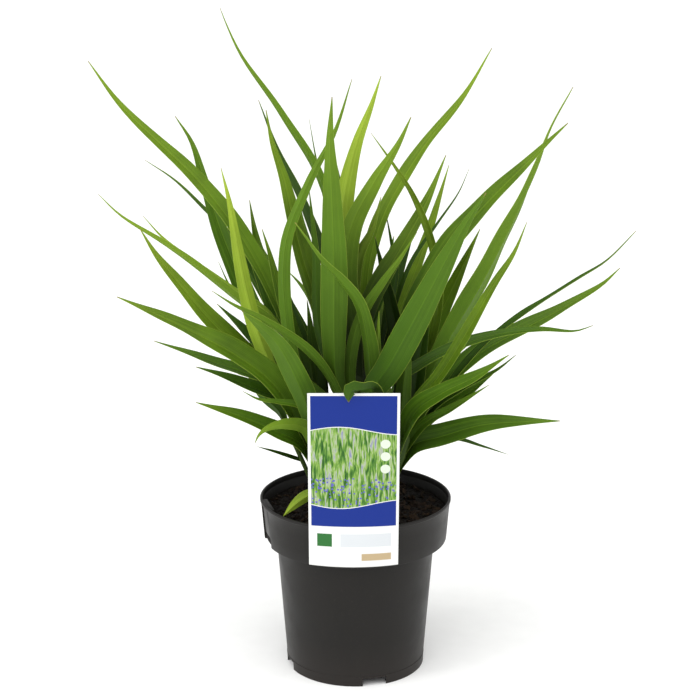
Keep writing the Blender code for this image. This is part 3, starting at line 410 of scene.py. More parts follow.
bpy.ops.mesh.primitive_grid_add(x_subdivisions=SOIL_CELLS, y_subdivisions=SOIL_CELLS, size=2)
soil = named("potting_mix")
flat = points_of(soil)
disc = np.zeros_like(flat)
disc[:, 0] = SOIL_RADIUS * flat[:, 0] * np.sqrt(1 - flat[:, 1] ** 2 / 2)
disc[:, 1] = SOIL_RADIUS * flat[:, 1] * np.sqrt(1 - flat[:, 0] ** 2 / 2)
disc[:, 2] = SOIL_LEVEL
set_points(soil.data, disc)
soil.vertex_groups.new(name=MIDDLE_PART)
inner_points = [i for i, p in enumerate(disc) if math.hypot(p[0], p[1]) < SOIL_RADIUS - 0.0004]
soil.vertex_groups[MIDDLE_PART].add(inner_points, 1.0, "REPLACE")
for name, kind, size, strength in (("mounds", "CLOUDS", 0.030, 0.0050), ("lumps", "VORONOI", 0.0065, 0.0034),
                                   ("crumbs", "CLOUDS", 0.0022, 0.0022)):
    pattern = bpy.data.textures.new(name, kind)
    pattern.noise_scale = size
    finish_with(soil, "DISPLACE", texture=pattern, strength=strength, mid_level=0.5, direction="Z",
                vertex_group=MIDDLE_PART)
edit(soil)
bpy.ops.mesh.select_non_manifold()
raise_rings(SOIL_RADIUS, SOIL_LEVEL, SOIL_WALL)
finish_edit()
bpy.ops.object.shade_smooth_by_angle(angle=math.radians(50))
soil_points = points_of(soil)
top_heights = soil_points[soil_points[:, 2] > 0.15, 2]
print("soil top from", round(top_heights.min(), 4), "to", round(top_heights.max(), 4))

# %% [markdown]
# ## Crumbs and bark on the soil
# What tells the eye that soil is loose is what lies on it: chips of bark 3 to 9 mm long, and crumbs of peat.
# Each kind is modelled once, with only a few dozen faces, and copied. A ray dropped on the soil finds the
# height where each copy lies. The copies of one kind are joined into one piece.

# %% Scatter the crumbs and the bark
CHIPS = 300
CRUMBS = 1300
STEM_ROOM = 0.010
STEM_FEET = {
    "shoot_01": (-0.022, -0.034), "shoot_02": (-0.022, -0.001), "shoot_03": (-0.024, 0.032),
    "shoot_04": (-0.001, -0.040), "shoot_05": (-0.001, 0.000), "shoot_06": (0.002, 0.040),
    "shoot_07": (0.018, -0.032), "shoot_08": (0.020, 0.003), "shoot_09": (0.022, 0.036),
    "sprout_01": (-0.034, 0.016), "sprout_02": (-0.034, -0.058),
}
chance = np.random.default_rng(29)
soil_faces = [tuple(face.vertices) for face in soil.data.polygons]
top_of_soil = BVHTree.FromPolygons([tuple(p) for p in soil_points], soil_faces)

bpy.ops.mesh.primitive_cube_add(size=1)
chip = named("bark_chip")
finish_with(chip, "BEVEL", width=0.16, segments=1)
points = points_of(chip)
set_points(chip.data, points * (1.0, 0.55, 0.24) + 0.07 * np.sin(points[:, [1, 2, 0]] * 7))
bpy.ops.mesh.primitive_ico_sphere_add(subdivisions=1, radius=0.5)
crumb = named("peat_crumb")
points = points_of(crumb)
set_points(crumb.data, points * (1 + 0.35 * np.sin(points[:, [2, 0, 1]] * 9)))


def scattered(name, model, count, sizes):
    """Copies of the model lying on the soil, clear of the stems, joined into one piece."""
    copies = []
    while len(copies) < count:
        far = (SOIL_RADIUS - 0.005) * math.sqrt(chance.uniform())
        way = chance.uniform(0, 2 * math.pi)
        x, y = far * math.cos(way), far * math.sin(way)
        turn = Vector(chance.normal(size=3)).to_track_quat("Z", "Y").to_matrix()
        size = chance.uniform(*sizes)
        if min(math.hypot(x - a, y - b) for a, b in STEM_FEET.values()) < STEM_ROOM:
            continue
        ground = top_of_soil.ray_cast(Vector((x, y, 0.2)), Vector((0, 0, -1)))[0]
        flat_turn = turn.lerp(turn.Rotation(way * 3, 3, "Z"), 0.65) if model is chip else turn
        made = copy_of(model, name)
        points = points_of(made) * size @ np.array(flat_turn.normalized()).T
        set_points(made.data, points + (x, y, ground.z + size * 0.12))
        copies.append(made)
    bpy.data.objects.remove(model)
    return joined(copies, name)


bark = scattered("bark_chips", chip, CHIPS, (0.003, 0.009))
crumbs = scattered("peat_crumbs", crumb, CRUMBS, (0.0010, 0.0028))

# %% [markdown]
# ## The soil's finishes
# Damp peat is nearly black, and only its highest crumbs dry to a dull brown. Composted bark keeps a warm
# red-brown inside where a chip has split. Both are rough, with hardly any shine except where a crumb is wet.

# %% Mix the potting mix and the bark
def earth(name, dark, middle, light, size, wetness):
    """A rough brown finish that changes over this size, in metres, with the lightest parts on the crumbs."""
    made, tree, shader = new_material(name, IOR=1.45, Specular_IOR_Level=0.18)
    place = add(tree, "TexCoord", out="Object")
    large = add(tree, "TexNoise", {"Vector": place, "Scale": 0.4 / size, "Detail": 5.0, "Roughness": 0.7})
    fine = add(tree, "TexNoise", {"Vector": place, "Scale": 3.0 / size, "Detail": 4.0, "Roughness": 0.75})
    both = add(tree, "Mix", {"Factor": 0.5, "A": large, "B": fine}, data_type="FLOAT")
    colour = add(tree, "ValToRGB", {"Fac": both}, stops=((0.36, dark), (0.52, middle), (0.68, light)))
    rough = add(tree, "MapRange", {"Value": large, "From Min": 0.3, "From Max": 0.7,
                                   "To Min": 0.97 - wetness, "To Max": 0.97})
    bump = add(tree, "Bump", {"Strength": 0.7, "Distance": 0.0006, "Height": fine})
    drive(tree, shader, Base_Color=colour, Roughness=rough, Normal=bump)
    return made


keep(soil, ["soil"], earth("damp_peat", "#090706", "#120e0b", "#221b15", 0.004, 0.30))
keep(bark, (), earth("composted_bark", "#150f0a", "#241a12", "#40301f", 0.005, 0.20))
keep(crumbs, (), earth("peat_crumb", "#0b0907", "#171310", "#2e2620", 0.003, 0.20))

# %% [markdown]
# ## Where the leaves grow
# Each shoot is a flat stem of wrapped leaf bases. Its place in the soil, the point where its fan opens and
# its half width and half depth repeat the CAD model's values, in metres, so the finer leaves land on the
# solids that they stand for.

# %% Name the shoots
SHOOTS = {
    "shoot_01": ((-0.040, -0.050, 0.243), 0.0085, 0.0050),
    "shoot_02": ((-0.0494, -0.003, 0.262), 0.0085, 0.0050),
    "shoot_03": ((-0.040, 0.046, 0.270), 0.0085, 0.0050),
    "shoot_04": ((0.000, -0.056, 0.268), 0.0090, 0.0050),
    "shoot_05": ((0.002, -0.002, 0.285), 0.0090, 0.0050),
    "shoot_06": ((0.012, 0.060, 0.280), 0.0085, 0.0050),
    "shoot_07": ((0.046, -0.046, 0.252), 0.0090, 0.0050),
    "shoot_08": ((0.058, 0.004, 0.258), 0.0085, 0.0050),
    "shoot_09": ((0.044, 0.050, 0.270), 0.0085, 0.0050),
    "sprout_01": ((-0.075, 0.014, 0.2576), 0.0025, 0.0023),
    "sprout_02": ((-0.036, -0.063, 0.203), 0.0036, 0.0028),
}


def stem_point(shoot, share):
    """The point this share of the way from the soil to where the fan opens."""
    low = np.array((*STEM_FEET[shoot], SOIL_LEVEL))
    return low + (np.array(SHOOTS[shoot][0]) - low) * share


# %% [markdown]
# ## The leaves in sight
# No rule could guess how each real leaf bends, so each one in sight has a row of its own. The last numbers are
# places on the camera's sheet that the leaf's midrib passes from its base to its tip. A leaf that twists has
# two turns, at its base and at its tip. The tone runs from 0 for a dark leaf to 1 for a yellow-green one. It
# follows how dark each leaf looks, so it is partly the leaf's own colour and partly painted shade.

# %% List the leaves in sight
# shoot, how far up the stem the leaf parts from it, width, turn, depth of the tip, tone, places on the sheet
BLADES = (
    ("shoot_01", 0.75, 0.033, -42, -0.130, 0.52,
     ((278, 386), (238, 354.5), (198, 333.5), (159, 315.5), (117, 297))),
    ("shoot_01", 0.62, 0.011, -40, -0.085, 0.40,
     ((303, 408), (279, 402), (259, 399.5), (243, 391.5))),
    ("shoot_01", 0.40, 0.025, -42, -0.095, 0.41,
     ((302, 444), (279, 431.5), (239, 415.5), (196, 402.5))),
    ("shoot_01", 0.50, 0.016, 12, -0.155, 0.52,
     ((307, 429), (286, 424), (268, 428), (259, 435), (255, 443))),
    ("shoot_01", 0.90, 0.025, 10, -0.192, 0.37,
     ((307, 405), (298, 382), (275, 341), (242, 311))),
    ("shoot_02", 0.95, 0.022, -34, 0.055, 0.55,
     ((300, 360), (282, 312), (246.5, 243), (200.5, 182.5), (160.5, 144), (119.5, 104), (88, 61))),
    ("shoot_02", 0.88, 0.011, 35, -0.015, 0.55,
     ((282, 333), (236, 297), (199, 267), (160, 240), (120, 215), (98, 194))),
    ("shoot_02", 0.84, 0.011, 35, 0.045, 0.60,
     ((270, 318), (229, 288), (198, 265), (164, 239), (143, 216))),
    ("shoot_02", 0.80, 0.024, -35, -0.080, 0.61,
     ((284, 390), (247, 354.5), (212, 321), (177.5, 281.5), (155.5, 254), (140, 229))),
    ("shoot_02", 0.66, 0.022, -30, -0.030, 0.17,
     ((288.5, 377.5), (261, 347), (238.5, 324), (217, 304))),
    ("shoot_02", 0.55, 0.024, -50, 0.030, 0.36,
     ((285, 389), (244, 371.5), (199, 356.5), (154, 341))),
    ("shoot_02", 0.45, 0.027, -48, -0.015, 0.23,
     ((292, 403.5), (262, 390), (224, 376), (196, 367))),
    ("shoot_02", 1.00, 0.017, -14, -0.095, 0.79,
     ((284, 390), (262, 345), (247, 295), (238, 250), (229, 200), (221, 168))),
    ("shoot_02", 0.98, 0.017, -26, -0.045, 0.45,
     ((305, 372), (290, 325), (277, 283), (269, 252), (262, 229))),
    ("shoot_02", 0.72, 0.008, 20, 0.060, 0.32,
     ((262, 330), (232, 290), (218, 261))),
    ("shoot_03", 0.92, 0.022, 18, 0.075, 0.40,
     ((290, 370), (256, 313), (223, 237), (206, 186), (192, 142.5), (175, 116))),
    ("shoot_03", 0.80, 0.010, 40, 0.110, 0.27,
     ((281, 330), (239.5, 246.5), (202.5, 206), (175, 180), (145, 160))),
    ("shoot_03", 1.00, 0.019, 15, 0.030, 0.44,
     ((303, 370), (278, 305), (262, 258), (255, 231), (249.5, 200))),
    ("shoot_03", 0.70, 0.014, 20, 0.150, 0.40,
     ((322, 340), (312, 301), (301, 285), (288, 271))),
    ("shoot_03", 0.50, 0.020, 10, 0.095, 0.24,
     ((318, 372), (303, 333), (288, 301), (270, 262))),
    ("shoot_04", 1.00, 0.028, 3, -0.125, 0.42,
     ((337, 382), (334, 340), (334, 270), (332, 200), (330, 140), (332, 97))),
    ("shoot_04", 0.80, 0.012, 35, -0.120, 0.42,
     ((334, 386), (318, 361), (297, 341), (261, 318), (234, 305), (212, 291))),
    ("shoot_04", 0.92, 0.014, 22, -0.075, 0.42,
     ((322, 395), (300, 375), (286, 315), (286, 243), (308, 184), (335, 131), (352, 79))),
    ("shoot_04", 0.86, 0.014, 20, -0.050, 0.26,
     ((334, 372), (319, 325), (316, 260), (312, 217), (309, 188))),
    ("shoot_04", 0.70, 0.031, 8, -0.170, 0.30,
     ((372, 392), (388, 368), (424, 302), (446, 260), (467, 222), (486, 193))),
    ("shoot_04", 0.95, 0.013, 12, -0.085, 0.42,
     ((350, 365), (360, 319), (384, 280), (401, 257), (417, 232))),
    ("shoot_05", 0.95, 0.012, 32, -0.005, 0.43,
     ((345, 345), (338, 240), (320.5, 178), (281.5, 113), (241, 55), (227, 26), (220, 8))),
    ("shoot_05", 0.88, 0.015, 32, 0.100, 0.12,
     ((344, 325), (325, 257), (302, 198), (279, 152), (258.5, 100))),
    ("shoot_05", 0.90, 0.018, 15, 0.110, 0.27,
     ((340, 330), (318, 275), (303, 225), (297, 192))),
    ("shoot_05", 0.92, 0.023, -26, -0.055, 0.56,
     ((345, 360), (322, 312), (298, 238), (284.5, 181.5), (272, 143.5), (266, 110))),
    ("shoot_05", 0.70, 0.006, 20, 0.030, 0.22,
     ((344, 320), (330, 225), (316, 158), (309, 118))),
    ("shoot_05", 1.00, 0.024, 18, -0.045, 0.74,
     ((350, 320), (342, 240), (345, 195), (357, 143), (371, 106), (381, 76))),
    ("shoot_05", 0.97, 0.026, 22, -0.080, 0.49,
     ((352, 335), (345, 268), (352, 226), (375, 181.5), (398, 144.5), (411, 117))),
    ("shoot_05", 0.85, 0.019, 10, -0.020, 0.55,
     ((354, 335), (352, 292), (359, 255), (372, 229), (381, 197))),
    ("shoot_05", 0.78, 0.008, 10, 0.020, 0.57,
     ((350, 320), (344, 230), (347, 190), (350, 167))),
    ("shoot_05", 0.80, 0.024, 28, 0.055, 0.52,
     ((361, 340), (374, 295), (404, 242), (427.5, 199.5), (446, 155))),
    ("shoot_06", 1.00, 0.020, 36, 0.115, 0.60,
     ((368, 340), (367, 275), (382.5, 216), (423, 147), (464, 96), (492, 48))),
    ("shoot_06", 0.90, 0.017, 30, 0.125, 0.64,
     ((381, 350), (405, 296), (426, 240), (439, 199), (449, 165))),
    ("shoot_06", 0.80, 0.006, 25, 0.100, 0.16,
     ((382, 350), (410, 265), (437, 224), (459, 192), (469, 169))),
    ("shoot_06", 0.75, 0.011, 15, 0.080, 0.13,
     ((380, 340), (396, 270), (391, 240), (386, 213))),
    ("shoot_07", 0.95, 0.019, (0, 75), -0.130, 0.39,
     ((384, 404), (374, 382), (369, 345), (360, 305), (345, 284), (322.5, 260), (295, 222.5))),
    ("shoot_07", 0.80, 0.014, 8, -0.085, 0.48,
     ((388, 402), (378, 365), (379, 311))),
    ("shoot_07", 0.70, 0.017, 48, -0.030, 0.32,
     ((384, 392), (418, 366), (447, 350.5), (490, 335.5), (541, 329.5), (576, 331), (593, 325.5))),
    ("shoot_07", 0.62, 0.023, 38, -0.145, 0.39,
     ((413, 413), (441, 393), (478, 375), (509, 355))),
    ("shoot_07", 0.52, 0.013, 28, -0.060, 0.40,
     ((421, 426), (451, 408.5), (489, 385))),
    ("shoot_07", 0.34, 0.027, 25, -0.080, 0.37,
     ((410, 446), (442, 435.5), (482, 424.5), (522, 421.5), (560, 421))),
    ("shoot_07", 0.88, 0.014, 20, -0.105, 0.58,
     ((416, 402), (438, 377), (464, 336), (494.5, 283), (514, 253), (527, 222))),
    ("shoot_08", 0.98, 0.029, 38, -0.045, 0.48,
     ((403, 375), (413, 316), (448, 247), (483, 206), (531, 158.5), (568, 123))),
    ("shoot_08", 0.92, 0.026, (-5, -88), 0.080, 0.48,
     ((428, 378), (447, 340), (482, 279), (513, 218), (536.5, 167), (550, 129), (573, 87))),
    ("shoot_08", 0.75, 0.012, 60, -0.065, 0.24,
     ((440, 396), (477, 351), (519, 316.5), (545, 299.5), (579, 278), (606, 261), (636, 231))),
    ("shoot_08", 0.65, 0.026, 45, 0.035, 0.45,
     ((440, 391), (478, 353), (521, 329.5), (561, 308.5), (602, 284.5), (620, 268))),
    ("shoot_08", 0.50, 0.012, 30, -0.025, 0.25,
     ((434, 406), (463, 387), (496, 370.5), (516, 355))),
    ("shoot_08", 0.42, 0.026, 35, 0.010, 0.33,
     ((428, 417), (461, 397.5), (493, 374))),
    ("shoot_08", 0.30, 0.007, 35, -0.010, 0.15,
     ((418, 443), (455, 438.5), (482, 446), (508, 454.5))),
    ("shoot_09", 0.95, 0.022, 14, 0.040, 0.52,
     ((420, 360), (442, 310), (464, 263), (480, 229))),
    ("shoot_09", 0.90, 0.018, 18, 0.040, 0.10,
     ((400, 385), (396, 330), (385, 279), (375, 237))),
    ("shoot_09", 0.85, 0.011, 22, -0.005, 0.62,
     ((430, 345), (439, 295), (433, 247), (414, 197), (395, 166.5), (371, 133))),
    ("sprout_01", 0.48, 0.005, 30, 0.000, 0.20,
     ((300, 459), (279, 452.5), (257, 446.5))),
    ("sprout_01", 1.00, 0.014, 25, 0.030, 0.21,
     ((277, 408), (262, 394), (246, 372))),
    ("sprout_02", 0.92, 0.013, 15, -0.057, 0.74,
     ((307, 496), (295, 504.5), (283, 516.5))),
    ("sprout_02", 1.00, 0.011, 20, -0.078, 0.40,
     ((318, 470), (330, 440), (344, 420))),
)

# %% [markdown]
# ## The leaves behind them
# The photograph shows only one side, but the plant has another. These leaves fill the inside of the clump
# and its back, and each needs just its tip: one arched point between the stem and the tip gives the bend.

# %% List the leaves behind
# shoot, how far up the stem the leaf parts from it, width, how much it arches, depth and place of its tip
BACK_BLADES = (
    ("shoot_01", 0.70, 0.017, 0.16, -0.020, (262, 372)),
    ("shoot_02", 0.90, 0.019, 0.12, 0.060, (268, 272)),
    ("shoot_02", 0.97, 0.018, 0.10, 0.095, (238, 226)),
    ("shoot_03", 1.00, 0.020, 0.10, 0.125, (256, 236)),
    ("shoot_03", 0.94, 0.021, 0.12, 0.180, (262, 262)),
    ("shoot_03", 0.84, 0.021, 0.14, 0.150, (216, 226)),
    ("shoot_03", 0.66, 0.022, 0.18, 0.140, (244, 292)),
    ("shoot_03", 0.46, 0.020, 0.26, 0.115, (226, 338)),
    ("shoot_03", 0.55, 0.020, 0.20, 0.170, (266, 318)),
    ("shoot_03", 0.36, 0.018, 0.30, 0.080, (238, 374)),
    ("shoot_03", 0.42, 0.019, 0.06, 0.065, (307, 300)),
    ("shoot_05", 0.34, 0.021, 0.06, 0.020, (331, 350)),
    ("shoot_05", 0.60, 0.019, 0.12, 0.060, (330, 296)),
    ("shoot_05", 0.66, 0.019, 0.12, 0.050, (384, 300)),
    ("shoot_05", 0.74, 0.020, 0.10, 0.120, (340, 226)),
    ("shoot_05", 0.45, 0.022, 0.10, 0.035, (354, 326)),
    ("shoot_06", 0.98, 0.021, 0.08, 0.115, (331, 140)),
    ("shoot_06", 0.92, 0.021, 0.10, 0.160, (394, 236)),
    ("shoot_06", 0.74, 0.021, 0.16, 0.180, (322, 262)),
    ("shoot_06", 0.60, 0.022, 0.24, 0.194, (356, 312)),
    ("shoot_06", 0.66, 0.021, 0.20, 0.180, (396, 276)),
    ("shoot_06", 0.44, 0.020, 0.30, 0.150, (384, 346)),
    ("shoot_06", 0.36, 0.019, 0.28, 0.165, (322, 344)),
    ("shoot_06", 0.96, 0.021, 0.10, 0.140, (420, 206)),
    ("shoot_07", 0.78, 0.018, 0.10, -0.050, (410, 325)),
    ("shoot_07", 0.58, 0.017, 0.16, 0.000, (446, 384)),
    ("shoot_08", 0.85, 0.020, 0.12, 0.050, (430, 300)),
    ("shoot_08", 0.58, 0.019, 0.22, 0.085, (478, 336)),
    ("shoot_08", 0.70, 0.020, 0.14, 0.100, (484, 272)),
    ("shoot_09", 0.98, 0.021, 0.08, 0.120, (470, 218)),
    ("shoot_09", 0.92, 0.021, 0.12, 0.155, (452, 262)),
    ("shoot_09", 0.66, 0.021, 0.18, 0.150, (472, 312)),
    ("shoot_09", 0.46, 0.020, 0.26, 0.140, (456, 352)),
    ("shoot_09", 0.36, 0.018, 0.30, 0.160, (416, 372)),
)

# The short leaf whose tip folds over the card's top edge has a row of its own, with places in metres. Its bend
# is sharp, so it has stations of its own too.
FOLDED_SHOOT = "shoot_07"
FOLDED_SHARE = 0.75
FOLDED_WIDTH = 0.016
FOLDED_STATIONS = (0.0, 0.30, 0.60, 0.79, 0.87, 0.935, 1.0)
FOLDED_TAPER = (0.69, 0.81, 1.0, 1.0, 1.0, 0.91, 0.06)
FOLDED_TURNS = (30, 55, 68, 72, 66, 20, 5)
FOLDED_POINTS = (
    (0.0155, -0.1120, 0.3190), (0.0040, -0.1225, 0.3210), (-0.0045, -0.1270, 0.3215),
    (-0.0066, -0.1275, 0.3150), (-0.0066, -0.1262, 0.3092),
)

# %% [markdown]
# ## From the sheet to the plant
# A place on the sheet and a depth, which is the Y coordinate, fix one point in space. These functions go both
# ways between the two, and draw one smooth curve through a leaf's points.

# %% Turn places on the sheet into points
CURVE_STEPS = 24


def from_sheet(across, down, depth):
    """The point at this depth (its Y) that the front view shows at this place on its sheet."""
    gone = VIEW_BACK + depth
    fall = VIEW_DOWN + math.atan((down - SHEET_MIDDLE) / VIEW_SCALE)
    rise = -gone * math.tan(fall)
    ahead = gone * math.cos(VIEW_DOWN) - rise * math.sin(VIEW_DOWN)
    return np.array((VIEW_X + (across - SHEET_MIDDLE) * ahead / VIEW_SCALE, depth, VIEW_UP + rise))


def to_sheet(points):
    """Where the front view shows these points: across, down, and the distance straight ahead."""
    x = points[..., 0] - VIEW_X
    gone = points[..., 1] + VIEW_BACK
    rise = points[..., 2] - VIEW_UP
    ahead = gone * math.cos(VIEW_DOWN) - rise * math.sin(VIEW_DOWN)
    up = gone * math.sin(VIEW_DOWN) + rise * math.cos(VIEW_DOWN)
    return SHEET_MIDDLE + VIEW_SCALE * x / ahead, SHEET_MIDDLE - VIEW_SCALE * up / ahead, ahead


def sight(points):
    """Unit vectors from the eye of the front view to the points."""
    rays = points - np.array((VIEW_X, -VIEW_BACK, VIEW_UP))
    return rays / np.linalg.norm(rays, axis=-1, keepdims=True)


def curve_through(points, count):
    """Points on a smooth curve through the given ones: this many, evenly spaced, or at these shares of it."""
    points = np.asarray(points, float)
    knots = np.concatenate([[0], np.cumsum(np.sqrt(np.linalg.norm(np.diff(points, axis=0), axis=1)))])
    first = 2 * points[0] - points[1]
    last = 2 * points[-1] - points[-2]
    padded = np.vstack([first, points, last])
    times = np.concatenate([[2 * knots[0] - knots[1]], knots, [2 * knots[-1] - knots[-2]]])
    found = []
    for i in range(1, len(points)):
        p0, p1, p2, p3 = padded[i - 1 : i + 3]
        t0, t1, t2, t3 = times[i - 1 : i + 3]
        for t in np.linspace(t1, t2, CURVE_STEPS, endpoint=False):
            a1 = (t1 - t) / (t1 - t0) * p0 + (t - t0) / (t1 - t0) * p1
            a2 = (t2 - t) / (t2 - t1) * p1 + (t - t1) / (t2 - t1) * p2
            a3 = (t3 - t) / (t3 - t2) * p2 + (t - t2) / (t3 - t2) * p3
            b1 = (t2 - t) / (t2 - t0) * a1 + (t - t0) / (t2 - t0) * a2
            b2 = (t3 - t) / (t3 - t1) * a2 + (t - t1) / (t3 - t1) * a3
            found.append((t2 - t) / (t2 - t1) * b1 + (t - t1) / (t2 - t1) * b2)
    found.append(points[-1])
    found = np.array(found)
    steps = np.linalg.norm(np.diff(found, axis=0), axis=1)
    length = np.concatenate([[0], np.cumsum(steps)])
    wanted = np.asarray(count) if np.ndim(count) else np.linspace(0, 1, count)
    return np.stack([np.interp(wanted * length[-1], length, found[:, k]) for k in range(3)], axis=1)

# %% [markdown]
# ## One leaf's path and frame
# A leaf is laid out twice: at the CAD model's seven stations, which repeat its solids exactly, and then at
# forty-five, for a smooth curve. The frame says, at each station, which way is across the leaf and which way is
# up from it. A leaf turned by 0 degrees lies flat in the picture, and one turned by 90 shows only its edge.

# %% Lay out a leaf's midrib and frame
STATIONS = np.array((0.0, 0.15, 0.32, 0.49, 0.66, 0.84, 1.0))
LEAF_ROWS = 44
FINE = np.linspace(0, 1, LEAF_ROWS + 1)
WIDTH_ALONG = (
    (0.0, 0.46), (0.13, 0.62), (0.28, 0.88), (0.40, 1.00), (0.52, 0.95),
    (0.66, 0.76), (0.80, 0.48), (0.92, 0.20), (1.0, 0.03),
)
FOLD_ALONG = ((0.0, 50), (0.13, 44), (0.28, 32), (0.43, 26), (0.58, 22), (0.8, 20), (1.0, 26))
ROOT_SINK = 0.22


def leaf_points(shoot, share, depth, marks):
    """What the midrib passes: inside the stem, where it parts from the stem, then the places on the sheet."""
    leave = stem_point(shoot, share)
    across, down, _ = to_sheet(leave)
    places = np.array([(across, down)] + list(marks))
    gone = np.concatenate([[0], np.cumsum(np.linalg.norm(np.diff(places, axis=0), axis=1))])
    depths = leave[1] + (depth - leave[1]) * (gone / gone[-1]) ** 1.25
    on_sheet = [from_sheet(*place, far) for place, far in zip(places[1:], depths[1:])]
    return [stem_point(shoot, share - ROOT_SINK), leave] + on_sheet


def arched_marks(shoot, share, arch, depth, tip):
    """One mark between the stem and the tip, so that the leaf rises first and then leans out."""
    leave = stem_point(shoot, share)
    end = from_sheet(*tip, depth)
    middle = leave + (end - leave) * 0.52
    middle[2] += arch * np.linalg.norm(end[:2] - leave[:2])
    across, down, _ = to_sheet(middle)
    return ((float(across), float(down)), tip)


def leaf_frame(spine, turns):
    """Across and upward unit vectors at each station, for these turns in degrees."""
    tangent = np.gradient(spine, axis=0)
    tangent /= np.linalg.norm(tangent, axis=1, keepdims=True)
    level = np.cross(tangent, sight(spine))
    level /= np.linalg.norm(level, axis=1, keepdims=True)
    for k in range(1, len(level)):
        if level[k] @ level[k - 1] < 0:
            level[k] = -level[k]
    away = np.cross(level, tangent)
    angle = np.radians(turns)[:, None]
    across = np.cos(angle) * level + np.sin(angle) * away
    return across, np.cross(tangent, across)


def set_frame(leaf):
    """The frame at the seven stations, with its upper face towards the plant's middle and the sky."""
    across, upward = leaf_frame(leaf["spine"], leaf["turns"])
    middle = leaf["spine"][3]
    inward = np.array((-middle[0], -middle[1], 0.0)) / (np.hypot(middle[0], middle[1]) + 0.05)
    side = -1 if upward[3] @ (inward + np.array((0, 0, 0.5))) < 0 else 1
    leaf["across"] = side * across
    leaf["upward"] = side * upward


roll_chance = np.random.default_rng(11)
tone_chance = np.random.default_rng(5)
leaves = []
rows = list(BLADES)
for shoot, share, width, arch, depth, tip in BACK_BLADES:
    start = stem_point(shoot, share)
    end = from_sheet(*tip, depth)
    turn = math.degrees(math.atan2(end[0] - start[0], abs(end[1] - start[1]) + 0.03)) * 0.7
    marks = arched_marks(shoot, share, arch, depth, tip)
    rows.append((shoot, share, width, turn, depth, tone_chance.uniform(0.12, 0.46), marks))
for shoot, share, width, turn, depth, tone, marks in rows:
    base, tip = turn if isinstance(turn, tuple) else (turn, turn)
    turns = base + (tip - base) * STATIONS + roll_chance.uniform(-22, 22) * (STATIONS - 0.5)
    leaves.append({"shoot": shoot, "width": width, "stations": STATIONS, "taper": WIDTH_ALONG, "turns": turns,
                   "tone": tone, "points": leaf_points(shoot, share, depth, marks), "held": False})
start = [stem_point(FOLDED_SHOOT, FOLDED_SHARE - ROOT_SINK), stem_point(FOLDED_SHOOT, FOLDED_SHARE)]
leaves.append({"shoot": FOLDED_SHOOT, "width": FOLDED_WIDTH, "stations": np.array(FOLDED_STATIONS),
               "taper": tuple(zip(FOLDED_STATIONS, FOLDED_TAPER)), "turns": np.array(FOLDED_TURNS),
               "tone": 0.04, "points": start + list(FOLDED_POINTS), "held": True})
for leaf in leaves:
    leaf["spine"] = curve_through(leaf["points"], leaf["stations"])
    leaf["shift"] = np.zeros(len(STATIONS))
    set_frame(leaf)
print(len(leaves), "leaves on", len(SHOOTS), "shoots")

# %% [markdown]
# ## Keeping the leaves apart
# Real leaves push one another aside. Here each leaf, each stem, the card and the stake are drawn on the sheet
# as small cells with their distance from the camera. Where leaves of two shoots share cells, the nearer one is
# moved nearer and the other farther, little by little. A leaf moves only along the line of sight, so it still
# shows in its own place.

# %% Draw the leaves and stems as cells of the sheet
CARD_LOW = 0.135
CARD_HIGH = 0.3160
CARD_WIDTH = 0.085
CARD_THICK = 0.0008
CARD_LEAN = math.radians(9)
CARD_BOW = 0.0075
CARD_MIDDLE = -0.002
STAKE_PATH = (
    (-0.1089, 0.250), (-0.1052, 0.226), (-0.1012, 0.206), (-0.0885, 0.186),
    (-0.0800, 0.162), (-0.0740, 0.128), (-0.0720, 0.105),
)
CELL = 2.2
STRIDE = 4096  # more than the cells across the sheet, so that one whole number can hold two
MOST_IN_CELL = 60
FREE_STATION = 1.6  # beyond this station, leaves of one shoot are kept apart too


def card_point(across, up):
    """A point of the card's middle surface: across from -0.5 to 0.5, up from 0 to 1."""
    lean = -(CARD_HIGH - CARD_LOW) * up * math.tan(CARD_LEAN)
    bow = CARD_BOW * (2 * across) ** 2 * max(0.0, 1 - up) ** 1.5
    touch = COLLAR_LOW_RADIUS + 0.0007 + CARD_THICK / 2
    return (CARD_MIDDLE + CARD_WIDTH * across, -touch + lean + bow, CARD_LOW + (CARD_HIGH - CARD_LOW) * up)


def along(pairs, share):
    places, values = zip(*pairs)
    return np.interp(share, places, values)


def leaf_lines(leaf, spare):
    """Left edge, midrib and right edge at the seven stations, with this much to spare."""
    half = leaf["width"] / 2 * along(leaf["taper"], leaf["stations"]) + spare
    fold = np.radians(along(FOLD_ALONG, leaf["stations"]))
    side = (half * np.cos(fold))[:, None] * leaf["across"]
    rise = (half * np.sin(fold))[:, None] * leaf["upward"] / 2
    return leaf["spine"] - side + rise, leaf["spine"] - rise, leaf["spine"] + side + rise


def standing_things():
    """What the leaves are kept clear of (stems, card, stake): owner, sample points, and half their depth."""
    found = []
    for shoot, (_, wide, deep) in SHOOTS.items():
        core = np.array([stem_point(shoot, share) for share in np.linspace(0, 1.02, 30)])
        for side in np.linspace(-1, 1, 9):
            found.append((shoot, core + np.array((side * wide, 0, 0)), deep + 0.001))
    card = [card_point(a, u) for a in np.linspace(-0.52, 0.52, 45) for u in np.linspace(0, 1.01, 90)]
    found.append(("card", np.array(card), 0.001))
    stake = curve_through([(0, y, z) for y, z in STAKE_PATH], 60)
    for side in np.linspace(-0.008, 0.008, 9):
        found.append(("stake", stake + np.array((side, 0, 0)), 0.0015))
    return found


